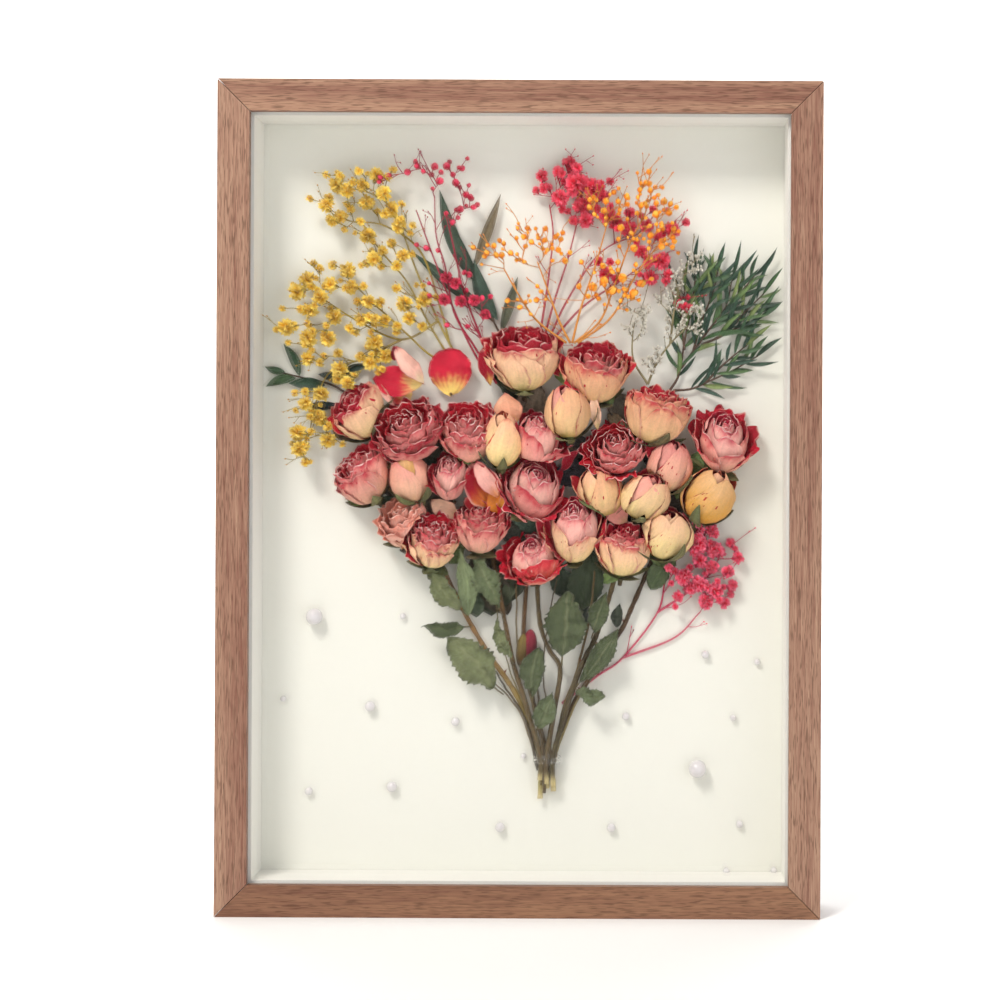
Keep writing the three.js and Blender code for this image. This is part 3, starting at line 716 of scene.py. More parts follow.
@dataclass(frozen=True)
class HeadLook:
    """How one rose head looks, from the front one to the hindmost.

    Attributes:
        node: name of the CAD node.
        spot: its middle, across and up, in millimetres.
        size: its width and height.
        face: the way that it opens, as x, towards the viewer and z.
        form: how far it has opened.
        outer: tints of its outer petals.
        inner: tints of the petals within.
        sepals: how many sepals show below it.
        ruffle: a factor on the ruffles of its rims.
        flares: where outer petals stand off, in degrees, 0 to the right and 90 away and up.
        lift: the gap between the head and the card.
        spin: turns the petals about the head's axis, in radians.
    """

    node: str
    spot: Place
    size: Place
    face: Point
    form: Form
    outer: Tints
    inner: Tints
    sepals: int = 3
    ruffle: float = 1.0
    flares: tuple[float, ...] = ()
    lift: float = 1.0
    spin: float = 0.0


OPEN, HALF, BUD, FULL, BALL = Form.OPEN, Form.HALF, Form.BUD, Form.FULL, Form.BALL
HEADS = tuple(HeadLook(*row) for row in (
    ("rose_crown", (0, 298), (42, 33), (0, 0.42, 0.9), HALF, CREAM, CROWN, 3, 1.3,
     (30, 75, 115, 160, 182), 1, 4.45),
    ("rose_cream_right", (74, 268), (34, 30), (0.2, 0.26, 0.95), HALF, PEACH, PEACH, 5, 1.7,
     (70,)),
    ("rose_far_right", (109, 255), (36, 34), (0.15, 0.6, 0.79), BALL, BLUSH, PALE, 4, 1.2,
     (0, 60, 130, 185, 320), 0, 2.4),
    ("rose_left_upper", (-62, 259), (37, 34), (-0.22, 0.76, 0.61), FULL, PINK, RUFFLED, 2,
     1.5, (50,)),
    ("rose_far_left_upper", (-90, 269), (29, 29), (-0.55, 0.42, 0.72), HALF, CREAM, CROWN, 4,
     1.3, (100, 150)),
    ("bud_cream_centre", (-10, 254), (19, 28), (0.05, 0.2, 0.97), BUD, YELLOW, YELLOW, 4, 0.6,
     (), 7, 4.5),
    ("bud_peach_centre", (25, 269), (23, 26), (-0.1, 0.3, 0.93), BUD, PEACH, BLUSH, 3, 0.8,
     (), 5),
    ("rose_dark_right", (49, 249), (35, 32), (-0.15, 0.8, 0.58), OPEN, RUFFLED, RUFFLED, 2, 1.7,
     (30, 90, 150, 200, 250)),
    ("rose_far_left_middle", (-87, 235), (27, 31), (-0.5, 0.45, 0.74), HALF, BLUSH, RUFFLED, 4,
     1.8, (80, 140)),
    ("rose_small_left", (-40, 235), (23, 26), (-0.1, 0.66, 0.74), BALL, PINK, PALE, 2, 0.8,
     (30, 90, 150), 4),
    ("rose_heart", (8, 228), (38, 35), (0.25, 0.66, 0.7), BALL, PINK, PALE, 2, 1.0,
     (50, 110, 160, 200, 240, 300), 1, 0.6),
    ("bud_pink_right", (67, 225), (25, 26), (0.3, 0.5, 0.85), BUD, CREAM, BLUSH, 3, 1.6,
     (60,), 5),
    ("rose_low_centre_right", (29, 206), (34, 34), (-0.05, 0.55, 0.83), BALL, CREAM, PALE, 3,
     1.2, (0, 50, 110, 170)),
    ("rose_bottom_centre", (6, 191), (37, 30), (-0.1, 0.66, 0.74), BALL, SCARLET, PALE, 3, 1.9,
     (40, 90, 140, 190, 240, 290, 340), 0, 1.4),
    ("rose_ruffled_low_left", (-50, 200), (32, 29), (0.1, 0.56, 0.82), FULL, CREAM, RUFFLED, 6,
     1.9, (60, 180)),
    ("rose_low_right", (55, 196), (33, 29), (0.1, 0.4, 0.9), HALF, CREAM, BLUSH, 4, 1.8,
     (20, 80, 130, 175)),
    ("rose_low_centre_left", (-21, 207), (29, 27), (0.05, 0.42, 0.9), FULL, BLUSH, BLUSH, 5, 1.5,
     (60, 10)),
    ("bud_left_middle", (-60, 233), (22, 25), (-0.35, 0.35, 0.87), BUD, BLUSH, ORANGE, 5, 1.2,
     (), 4, 1.2),
    ("rose_left_centre_upper", (-29, 258), (31, 31), (-0.05, 0.6, 0.8), FULL, BLUSH, RUFFLED, 2,
     1.3, (60,)),
    ("rose_pink_centre", (11, 254), (31, 31), (0.25, 0.4, 0.88), BALL, PINK, PALE, 0, 1.7,
     (20, 70, 330), 0, 3.0),
    ("rose_crown_right", (40, 291), (40, 32), (0.05, 0.5, 0.85), HALF, PEACH, BLUSH, 4, 1.6,
     (5, 50, 175)),
    ("bud_yellow_right", (101, 224), (28, 28), (0.35, 0.35, 0.87), BUD, ORANGE, YELLOW, 3, 0.8,
     (20,), 2, 2.2),
    ("bud_cream_low", (41, 226), (27, 25), (-0.3, 0.35, 0.88), BUD, PEACH, YELLOW, 2, 1.0,
     (130,)),
    ("bud_pink_back", (80, 240), (23, 26), (0.15, 0.35, 0.92), BUD, BLUSH, PINK, 5, 0.8),
    ("rose_peach_low_left", (-66, 210), (27, 27), (-0.3, 0.6, 0.75), HALF, SALMON, SALMON, 2,
     1.6, (180, 240)),
    ("bud_cream_back_right", (78, 204), (28, 26), (0.1, 0.4, 0.9), BUD, CREAM, CREAM, 4, 1.0,
     (60,)),
))


@dataclass(frozen=True)
class Room:
    """The egg-shaped room that a head takes, in millimetres."""

    centre: Array
    half: Array

    def push(self, points: Array) -> Array:
        """Presses the points of a hinder head out of this room.

        Args:
            points: any array of points.

        Returns:
            The points, those inside moved to just within its surface.
        """
        offset = (points - self.centre) / self.half
        far = np.linalg.norm(offset, axis=-1, keepdims=True)
        pressed = self.centre + offset / np.maximum(far, 1e-6) * (0.95 + 0.05 * far) * self.half
        return np.where(far < 1, pressed, points)


@dataclass(frozen=True)
class Variety:
    """How much the petals of one head differ.

    Attributes:
        reach, top, close: smallest and largest factor on the growth's values of these names.
        lean: how much further out one side of a petal stands.
        own: strength of a petal's own dents.
        painted: how far up the inner petals are painted: below 1 they have no rim colour.
    """

    reach: Place
    top: Place
    close: Place
    lean: float
    own: float
    painted: float


CALM = Variety((0.99, 1.005), (0.985, 1.005), (0.985, 1.01), 0.045, 0.2, 0.92)
LIVELY = Variety((0.95, 1.04), (0.93, 1.04), (0.96, 1.03), 0.07, 1.0, 1.0)
# Points of a petal from foot to rim, closer together towards the rim, and points across it.
PETAL_ROWS = np.array([0, 0.2, 0.38, 0.53, 0.66, 0.77, 0.86, 0.93, 0.975, 1.0])
PETAL_COLUMNS = 21


@dataclass
class RoseHead:
    """A dried rose head: petals in a spiral, each curved, ruffled, crumpled and two-coloured.

    Attributes:
        look: how it looks.
        seed: chooses its random numbers.
        skin: thickness of a petal, in millimetres.
        sepal_skin: thickness of a sepal.
        deepest: furthest that it stands out from its back.
        swell: how much the petal tips stand out over its width and height.
        reach: furthest that a petal lies to either side.
    """

    look: HeadLook
    seed: int
    skin: float = 0.24
    sepal_skin: float = 0.3
    deepest: float = 28.0
    swell: float = 1.1
    reach: float = 141.4

    def __post_init__(self) -> None:
        """Looks up how its petals change and starts its random numbers."""
        self.rng = np.random.default_rng(1000 + self.seed)
        self.dent_seed = 3000 + self.seed
        self.growth = GROWTH[self.look.form]
        self.variety = CALM if self.look.form is Form.BUD else LIVELY

    def petal(self, share: float, middle: float, flares: bool) -> tuple[Array, Array, Array]:
        """One petal in the head's own directions.

        Args:
            share: 0 for the outermost petal to 1 for the innermost.
            middle: the angle of its middle, in radians.
            flares: whether it stands off.

        Returns:
            Its grid of points and the colours of its outer and inner faces.
        """
        rng, grown, vary = self.rng, self.growth, self.variety
        reach, top, close, width, curl, ruffle, dents = (
            float(np.interp(share, (0, grown.turn, 1), triple)) for triple in
            (grown.reach, grown.top, grown.close, grown.width, grown.curl, grown.ruffle,
             grown.crumple))
        reach *= rng.uniform(*vary.reach)
        top *= rng.uniform(*vary.top)
        close *= rng.uniform(*vary.close)
        curl *= rng.uniform(0.4, 1.6)
        if flares:
            reach, top, close, curl = 1.1 * reach, 0.97 * top, min(close, 1.4), curl + 0.1
            ruffle, dents = ruffle + 0.01, dents + 0.6
        v = PETAL_ROWS[:, None]
        flat = np.linspace(-1, 1, PETAL_COLUMNS)
        u = (0.5 * flat + 0.5 * np.sin(math.pi / 2 * flat))[None, :]
        uneven = 0.03 * np.sin(4 * u + rng.uniform(0, FULL_TURN))
        slope = grown.slope * rng.uniform(0.7, 1.3) * (1 - 0.5 * share)
        along = v * (1 - slope * np.abs(u) ** 2.2 + uneven + rng.uniform(-0.04, 0.04) * u)
        bend = close * along
        radius = reach * np.sin(bend)
        height = top * (1 - np.cos(bend)) / (1 - math.cos(close))
        roll = np.clip((along - 0.6) / 0.4, 0, 1) ** 2
        radius = radius * (1 - grown.taper * smooth(0.45, 1.0, along)) + curl * roll
        radius = radius + vary.lean * u * reach * v
        height = height - 0.5 * curl * roll
        wave = ruffle * self.look.ruffle * v**3
        turns = rng.uniform(1.5, 2.6) * (0.7 + 0.4 * self.look.ruffle) * math.pi
        radius = radius + wave * np.sin(turns * u + rng.uniform(0, FULL_TURN))
        radius = radius + 0.5 * wave * np.sin(1.9 * turns * u + rng.uniform(0, FULL_TURN))
        height = height + 0.5 * wave * np.sin(1.5 * turns * u + rng.uniform(0, FULL_TURN))
        spread = width * rng.uniform(0.9, 1.1)
        fan = 0.4 + 0.6 * np.sin(math.pi / 2 * np.clip(1.6 * v, 0, 1))
        angle = middle + spread * u * fan * (1 - 0.24 * (1 - share) * smooth(0.72, 1.0, v))
        angle = angle + grown.whirl * rng.uniform(0.4, 1.3) * v**1.3
        points = np.stack([radius * np.cos(angle), radius * np.sin(angle),
                           height * np.ones_like(angle)], axis=-1)
        stain = wrinkle(points, 0.8, draw_seed(rng))
        streak = wrinkle(points * np.array([1, 1, 0.35]), 0.2, draw_seed(rng))
        creased = wrinkle(points, 0.36, draw_seed(rng))
        shared = wrinkle(points, 0.5, self.dent_seed)
        crumple = dents * ((0.012 + 0.045 * v) * shared
                           + vary.own * (0.006 * streak + v**3 * (0.045 * stain + 0.04 * creased)))
        points = points * (1 + crumple[..., None] * np.array([1, 1, 0.4]))
        tints = self.look.outer if share < 0.8 * grown.turn else self.look.inner
        hidden = vary.painted if share > 0 else 1.0
        side = hidden * np.abs(u) * np.ones_like(v)
        outer, inner = tints.paint(hidden * np.minimum(along, v), side, stain, streak)
        shade = (rng.uniform(0.9, 1.06) * (1 + 0.07 * streak + 0.06 * creased))[..., None]
        return points, outer * shade, inner * shade * rng.uniform(0.8, 1.1)

    def sepal(self, order: int) -> tuple[Array, Array]:
        """One sepal that hugs the lower side of the head, its tip often standing off.

        Args:
            order: which sepal it is.

        Returns:
            Its grid of points in the head's own directions and its colours.
        """
        rng, grown = self.rng, self.growth
        v = np.linspace(0, 1, 9)[:, None]
        u = np.linspace(-1, 1, 5)[None, :]
        angle = 2 * math.pi * (order + rng.uniform(-0.2, 0.2)) / max(self.look.sepals, 1) + 0.4
        length = rng.uniform(0.42, 0.72)
        off = rng.uniform(-0.02, 0.3)
        bend = grown.close[0] * length * v
        radius = 1.05 * np.sin(bend) + 0.03 + off * v**2
        full = 1 - math.cos(grown.close[0])
        height = grown.top[0] * (1 - np.cos(bend)) / full - 0.06 - 0.5 * off * v**2
        half = 0.27 * np.sin(math.pi * (0.16 + 0.82 * v)) ** 0.8 * rng.uniform(0.75, 1.15)
        across = half * u
        lift = 0.35 * across**2 / 0.27 - 0.02
        c, s = math.cos(angle), math.sin(angle)
        points = np.stack([(radius - lift) * c - across * s, (radius - lift) * s + across * c,
                           height * np.ones_like(u)], axis=-1)
        brown = np.clip(rng.uniform(-0.3, 0.7) + 0.4 * v + 0.2 * np.abs(u), 0, 1)[..., None]
        rib = (0.35 * (np.abs(u) < 0.1) * np.ones_like(v))[..., None]
        green = linear(rng.choice(["#6c7648", "#5c6640", "#7a8054"]))
        colours = green * (1 - 0.6 * brown) + linear("#5d4a33") * 0.6 * brown
        return points, colours * (1 + rib)

    def build(self, material: Material, rooms: list[Room]) -> Object:
        """Makes the head, presses it against those in front of it, and adds its room to them.

        Args:
            material: the petals' finish.
            rooms: the rooms of the heads in front.

        Returns:
            The head's object.
        """
        look, count = self.look, self.growth.count
        wide, tall = look.size
        deep = min(self.deepest, 0.95 * (wide + tall) / 2)
        size = np.array([wide * self.swell, deep, tall * self.swell])
        centre = over_card(look.spot[0], look.lift + deep / 2, look.spot[1])
        x, h, z = look.face
        turn = basis(np.array([x, -h, z]), side=np.array([1.0, 0.0, 0.0]))
        petals = [self.petal(0.0, math.radians(angle), True) for angle in look.flares]
        petals += [self.petal(i / (count - 1), look.spin + GOLDEN_ANGLE * i, False)
                   for i in range(count)]
        whole = np.concatenate([points.reshape(-1, 3) for points, _, _ in petals]) @ turn
        middle = (whole.min(0) + whole.max(0)) / 2
        scale = size / (whole.max(0) - whole.min(0))

        def place(points: Array) -> Array:
            """Puts points of the head over the card and presses them out of the rooms in front."""
            placed = (points @ turn - middle) * scale + centre
            for room in rooms:
                placed = room.push(placed)
            return placed

        basket = Basket()
        for points, outer, inner in petals:
            basket.sheet(place(points), outer, inner, self.skin)
        for order in range(look.sepals):
            points, colours = self.sepal(order)
            basket.sheet(place(points), colours, colours * 0.8, self.sepal_skin)
        if look.sepals:
            cup, stub = linear("#76854a"), linear("#5a4a30")
            foot = (turn[2] * -0.06 - middle) * scale + centre
            basket.ball(foot, np.array([3.0, 3.0, 3.6]), turn, (stub, cup), 6, 9)
            line = line_through([foot, foot - turn[2] * 6], 4)
            basket.tube(line, np.full(4, 1.2), stub, sides=8)
        rooms.append(Room(centre, size / 2 * 0.93))
        return basket.build(f"petals_{look.node}", material, hollow(self.reach))


# Leaves and loose petals


def blade(base: Array, tip: Array, width: float, rng: np.random.Generator, *, rows: int = 12,
          columns: int = 7, fold: float = 0.15, arch: float = 0.0, twist: float = 0.0,
          serrate: float = 0.0, widest: float = 0.45, curl: float = 0.0, bend: float = 0.0,
          ends: Place = (0.8, 1.0)) -> tuple[Array, Array, Array]:
    """A leaf or narrow petal from its base to its tip.

    Args:
        base: where it grows, in millimetres.
        tip: its tip.
        width: its width.
        rng: random numbers.
        rows: points along it.
        columns: points across it.
        fold: how far its sides lift, as a share of its width.
        arch: how far its middle lifts, as a share of its length.
        twist: how far it turns about its length, in radians.
        serrate: depth of the teeth along its edge, as a share of its width.
        widest: where it is widest, from 0 at the base to 1 at the tip.
        curl: waviness of its edges, as a share of its width.
        bend: how far its middle stands to the side, as a share of its length.
        ends: how pointed its foot and tip are: 1 is pointed and 0.5 is round.

    Returns:
        Its grid of points, and how far along and across each point lies.
    """
    v = np.linspace(0, 1, rows)[:, None]
    u = np.linspace(-1, 1, columns)[None, :]
    way = tip - base
    length = float(np.linalg.norm(way))
    up = unit(way)
    face = unit(np.array([0.0, -1.0, 0.0]) + up * up[1])
    side = np.cross(up, face)
    power = math.log(0.5) / math.log(widest)
    half = width / 2 * np.sin(math.pi * v**power).clip(0, 1) ** (ends[0] * (1 - v) + ends[1] * v)
    if serrate:
        teeth = 0.5 + 0.5 * np.sin(v * rows * 1.9)
        half = half * (1 - serrate * teeth * (np.abs(u) > 0.98))
    turn = twist * (v - 0.3) * np.ones_like(u)
    across = u * half
    waves = np.sin(v * 14 + u * 2 + rng.uniform(0, FULL_TURN))
    lift = fold * width * np.abs(u) ** 1.3 * (half / (width / 2))
    lift = lift + curl * width * np.abs(u) ** 3 * waves
    flat = across * np.cos(turn) - lift * np.sin(turn) + bend * length * np.sin(math.pi * v)
    rise = across * np.sin(turn) + lift * np.cos(turn) + arch * length * np.sin(math.pi * v)
    points = base + v[..., None] * way + flat[..., None] * side + rise[..., None] * face
    return points, v * np.ones_like(u), u * np.ones_like(v)


def line_through(points: list[Array], count: int) -> Array:
    """A smooth line through points.

    Args:
        points: its control points, each with three numbers.
        count: how many points it gets.

    Returns:
        The points along it.
    """
    knots = np.array(points, float)
    if len(knots) == 2:
        share = np.linspace(0, 1, count)[:, None]
        return knots[0] * (1 - share) + knots[1] * share
    ends = np.concatenate([2 * knots[:1] - knots[1:2], knots, 2 * knots[-1:] - knots[-2:-1]])
    places = np.linspace(0, len(knots) - 1 - 1e-9, count)
    which = places.astype(int)
    t = (places - which)[:, None]
    a, b, c, d = ends[which], ends[which + 1], ends[which + 2], ends[which + 3]
    return 0.5 * (2 * b + (c - a) * t + (2 * a - 5 * b + 4 * c - d) * t**2
                  + (3 * b - a - 3 * c + d) * t**3)


@dataclass(frozen=True)
class LooseLook:
    """One petal that lies by itself, or stands alone among the heads.

    Attributes:
        base: its foot as x, h and z.
        tip: its far end.
        width: its width in millimetres.
        face: colours of the side towards the viewer: foot, body and edge.
        back: colour of its other side.
        fold: how far its sides lift.
        arch: how far its middle lifts.
        twist: turn along its length.
        foot_end: how far the foot's colour reaches.
        ends: how pointed its foot and tip are.
    """

    base: Point
    tip: Point
    width: float
    face: tuple[str, str, str]
    back: str = "#e6b0a0"
    fold: float = 0.15
    arch: float = 0.05
    twist: float = 0.0
    foot_end: float = 0.4
    ends: Place = (0.75, 0.5)


RED_FACE = ("#f2d476", "#c20e30", "#9c0c28")
PALE_FACE = ("#dcc48a", "#ecc3a6", "#b8505a")
PEACH_FACE = ("#d9b878", "#f0c09c", "#cf7a68")
RIMMED_FACE = ("#d8b060", "#a5122c", "#e2aaa0")
LOOSE = {
    "petal_round": (
        LooseLook((-39, 5, 277.5), (-39.5, 8, 303.5), 23.5, RED_FACE, "#e0958c", 0.06, 0.05,
                  0.0, 0.52, (0.5, 0.45)),
        LooseLook((-39.2, 5.6, 277), (-39, 6.6, 279.2), 1.6, ("#4c3a24",) * 3, fold=0.1),
    ),
    "petal_folded": (
        LooseLook((-54, 9, 284), (-81, 11, 286), 17, ("#f2d684", "#c00f30", "#c8304a"),
                  "#e6a79c", 0.08, 0.06, 0.3, 0.5, (0.6, 0.75)),
        LooseLook((-53, 9, 284), (-68, 16, 303.5), 9.5, ("#f0d8b4", "#ebb9a8", "#a8203a"),
                  "#b81a36", 0.32, 0.14, 0.5),
        LooseLook((-69, 12, 296), (-68.5, 16, 304), 3.4, ("#a8122e", "#8c1028", "#6e0e20"),
                  "#b81a36", 0.5, 0.1),
        LooseLook((-60, 7, 280), (-70, 8, 272.5), 10, ("#f0d684", "#d04440", "#f0b9b0"), "#e6a79c",
                  0.1, 0.05, 0.0, 0.9),
        LooseLook((-80, 9, 286), (-69, 11, 271.5), 4, ("#e8b0a4", "#ecbcae", "#d87880"), "#c01a34",
                  0.6, 0.05, 0.0),
    ),
    "petal_cup": (
        LooseLook((-14, 8, 216), (-27, 16, 241), 20, ("#e58f3a", "#a91228", "#e8b4a8"), "#dd9890",
                  0.42, 0.08, 0.0, 0.75),
        LooseLook((-12.5, 14, 222), (-24, 19, 242), 9.5, ("#e6a070", "#eab0a4", "#c2304a"),
                  "#c0203a", 0.35, 0.1, 0.3, 0.4),
        LooseLook((-10, 8, 213), (-16, 14, 227), 11, ("#e4a030", "#e08a3a", "#cc3038"), "#dd9890",
                  0.3, 0.1, 0.2, 0.8),
        LooseLook((-16, 8, 213), (-31, 13, 222), 9, ("#d9802c", "#c82c38", "#e8b4a8"), "#dd9890",
                  0.3, 0.1, 0.2, 0.5),
    ),
}
STRAY = (
    LooseLook((-17, 11, 283), (-21, 15, 303), 8, RIMMED_FACE, "#b31430", 0.5, 0.1, 0.3),
    LooseLook((-4, 11, 262), (-9, 14, 279), 15, ("#d9b878", "#e8ae8e", "#c05a56"), fold=0.34,
              twist=0.5, foot_end=0.3, ends=(0.6, 0.8)),
    LooseLook((41, 12, 259), (39, 18, 278), 6, PALE_FACE, fold=0.3, twist=0.5),
    LooseLook((-34, 5, 211), (-49, 8, 221), 11, ("#e6c49a", "#f3caae", "#dc9c8c"), fold=0.32,
              twist=0.6, ends=(0.7, 0.75)),
    LooseLook((-11.5, 10, 230), (-11.5, 14, 241), 5, ("#e2b23c", "#c41c34", "#e07a50"), fold=0.4),
    LooseLook((75, 8, 239), (69, 15, 256), 9, RIMMED_FACE, "#b31430", 0.3, 0.1, 0.3),
    LooseLook((57, 10, 209), (47, 14, 219), 12, ("#dca688", "#e2988c", "#c0404e"), fold=0.2,
              twist=0.2),
    LooseLook((25, 9, 288), (15, 14, 301), 12, RIMMED_FACE, "#c02038", 0.3, 0.1, 0.3),
    LooseLook((21, 9, 237), (31, 14, 248), 6, ("#8c1428", "#9c1029", "#d88a88"), "#7c0e22",
              0.6, 0.1, 0.8, 0.3, (0.8, 1.0)),
    LooseLook((89, 4, 271), (90, 6, 275.5), 3, RED_FACE, fold=0.3),
    LooseLook((15, 10, 196), (11, 15, 216), 9, RIMMED_FACE, "#c02038", 0.3, 0.1, 0.3),
)


class LoosePetals:
    """Petals that lie by themselves above and among the heads."""

    def __init__(self, name: str, looks: tuple[LooseLook, ...]) -> None:
        self.name = name
        self.looks = looks

    def build(self, material: Material) -> Object:
        """Makes the petals.

        Args:
            material: the petals' finish.

        Returns:
            One object of all of them.
        """
        rng = np.random.default_rng(len(self.name))
        basket = Basket()
        for look in self.looks:
            points, v, u = blade(over_card(*look.base), over_card(*look.tip), look.width, rng,
                                 rows=20, columns=17, fold=look.fold, arch=look.arch,
                                 twist=look.twist, widest=0.56, curl=0.05, ends=look.ends)
            points, dent, fine = dented(points, rng, (9, 2.5), (0.7, 0.2), 0.5)
            foot, body, edge = (linear(c) for c in look.face)
            ray = 0.05 * np.sin(23 * u + 3 * dent) + 0.1 * np.abs(u)
            low = smooth(look.foot_end, 0.12, v + ray + 0.06 * dent + 0.05 * fine)[..., None]
            far = np.maximum(np.abs(u) * (v > 0.12), v)
            rim = 0.75 * smooth(0.9, 0.985, far)[..., None]
            face = (body * (1 + 0.12 * dent + 0.06 * fine)[..., None]) * (1 - low) + foot * low
            back = linear(look.back) * (1 + 0.1 * dent)[..., None]
            basket.sheet(points, face * (1 - rim) + edge * rim, back, 0.35)
        return basket.build(self.name, material)


@dataclass(frozen=True)
class Behind:
    """A dried leaf between the heads and the card; the dark ones also stand in for the shade there,
    as painted shade.

    Attributes:
        foot: where it starts, across and up.
        tip: where it ends.
        width: its width in millimetres.
        tone: its colour.
        low: height of its foot above the card.
        high: height of its tip.
        twist: turn along its length.
    """

    foot: Place
    tip: Place
    width: float
    tone: str
    low: float = 1.0
    high: float = 4.0
    twist: float = 0.0


GREEN, DARK, DUSK, BROWN, BRIGHT = "#4f5f3f", "#363f2e", "#45382f", "#7d7160", "#74894f"
# The darkest and widest leaves lie lowest, against the card, to darken the gaps between heads:
# painted shade as much as leaves.
BEHIND = tuple(Behind(*row) for row in (
    ((0, 271), (-22, 303), 11, DARK, 3, 9, 0.4),
    ((2, 262), (10, 284), 17, BROWN, 1, 5),
    ((-6, 268), (-1, 285), 10, "#665a4a", 1, 4, 0.5),
    ((36, 274), (16, 291), 7, BRIGHT, 6, 13, 0.5),
    ((42, 272), (52, 282), 9, "#5c6f42", 8, 14),
    ((66, 252), (44, 281), 17, "#5d574a", 1, 3),
    ((60, 255), (64, 276), 9, DARK, 2, 6, 0.5),
    ((78, 238), (66, 254), 12, "#3a2c2e", 2, 7, 0.4),
    ((92, 236), (96, 248), 11, "#5d7445", 7, 12),
    ((-48, 233), (-74, 246), 13, DARK, 2, 7, 0.3),
    ((-44, 238), (-26, 246), 10, DUSK, 2, 8),
    ((-24, 240), (-38, 251), 5, BRIGHT, 14, 19, 0.4),
    ((-68, 220), (-76, 240), 12, "#66564a", 2, 6),
    ((-66, 214), (-82, 222), 8, "#33402c", 3, 8, 0.4),
    ((-62, 210), (-38, 226), 14, "#54483c", 1, 5),
    ((-48, 250), (-50, 236), 9, DARK, 2, 6),
    ((2, 198), (-10, 216), 15, "#3b4036", 1, 6),
    ((14, 205), (-8, 213), 11, "#4a5f50", 4, 9, 0.3),
    ((16, 232), (42, 240), 13, "#33343a", 1, 5),
    ((34, 215), (48, 238), 12, "#3e3a36", 1, 5),
    ((76, 212), (100, 234), 15, "#5a5248", 1, 5),
    ((84, 222), (90, 238), 6, BRIGHT, 8, 13),
    ((66, 206), (56, 220), 10, DARK, 3, 8, 0.3),
    ((30, 160), (38, 196), 18, "#39442f", 1, 5, 0.3),
    ((24, 168), (16, 188), 12, "#2f3a2a", 1, 6),
    ((44, 176), (56, 190), 8, BRIGHT, 7, 12, 0.3),
    ((70, 172), (82, 192), 11, "#4c5a3c", 3, 8, 0.3),
    ((84, 186), (66, 194), 8, "#66784a", 6, 11),
    ((-16, 158), (-17, 196), 25, "#434a35", 1, 4),
    ((-8, 165), (-2, 196), 13, "#3a3f2f", 2, 6, 0.3),
    ((-29, 158), (-33, 195), 10, "#6f7b58", 9, 15, 0.9),
    ((-25, 157), (-24, 172), 9, "#3f4936", 6, 9),
    ((-48, 186), (-66, 194), 7, DUSK, 5, 9, 0.8),
    ((-40, 186), (-30, 198), 9, "#5d6c42", 4, 9, 0.4),
    ((-80, 221), (-96, 221), 8, "#5a7040", 6, 9, 0.2),
    ((-92, 254), (-104, 262), 7, "#6a5a48", 3, 8, 0.6),
    ((-76, 262), (-78, 276), 8, DARK, 3, 9, 0.3),
    ((52, 152), (53.5, 165), 6, "#363c30", 5, 7),
    ((30, 150), (36, 163), 7, "#2e3530", 3, 5, 0.5),
    ((-8, 290), (4, 276), 8, "#4d5a40", 2, 5, 0.4),
    ((46, 268), (56, 258), 6, "#8a7a60", 3, 8, 1.0),
    ((-8, 158), (-24, 200), 20, "#4a4234", 0.8, 3, 0.2),
    ((2, 186), (20, 214), 20, "#3c4034", 0.8, 4),
    ((-60, 236), (-40, 262), 16, "#3a3f30", 0.8, 3),
    ((34, 236), (22, 262), 16, "#46403a", 0.8, 4),
    ((58, 214), (82, 236), 16, "#403c32", 0.8, 4),
))


class LeavesBehind:
    """Dull dried leaves on the card that show between the heads: partly real leaves, partly dark
    painted shade in the gaps between heads.
    """

    def build(self, material: Material) -> Object:
        """Makes the leaves.

        Args:
            material: the leaves' finish.

        Returns:
            One object of all of them.
        """
        rng = np.random.default_rng(77)
        basket = Basket()
        for leaf in BEHIND:
            foot = over_card(leaf.foot[0], leaf.low, leaf.foot[1])
            tip = over_card(leaf.tip[0], leaf.high, leaf.tip[1])
            # Each leaf is widened a little so that the gaps between heads close with painted shade.
            points, v, u = blade(foot, tip, 1.12 * leaf.width, rng, rows=26, columns=11, fold=0.12,
                                 arch=0.06, serrate=0.08, widest=0.45, curl=0.1,
                                 twist=leaf.twist, bend=rng.uniform(-0.08, 0.08))
            points, dent, fine = dented(points, rng, (7, 2), (0.9, 0.15), 0.4)
            points[..., 1] = np.minimum(points[..., 1], CARD_FRONT - 0.3)
            tone = linear(leaf.tone) * (1 + 0.2 * dent + 0.1 * fine)[..., None]
            side_veins = np.abs(np.sin((8 * v - np.abs(u)) * math.pi)) < 0.2
            rib = 0.3 * (np.abs(u) < 0.09) + 0.12 * side_veins
            basket.sheet(points, tone * (1 + rib[..., None]), tone * 0.9, 0.25)
        return basket.build("leaves_and_painted_shade_behind_heads", material)


# Stems, sprays and foliage


@dataclass(frozen=True)
class StemLook:
    """A rose stem with its leaves.

    Attributes:
        node: name of the CAD node.
        layer: its height above the card.
        route: places across and up from its cut end to its head.
        leaves: for each leaf its foot, its tip and its width.
        bark: its colours, from the cut end up.
        thorns: places along it, from 0 to 1.
        bud: whether it bears the small withered bud.
    """

    node: str
    layer: float
    route: Route
    leaves: tuple[Leaf, ...]
    bark: tuple[str, str]
    thorns: tuple[float, ...] = ()
    bud: bool = False


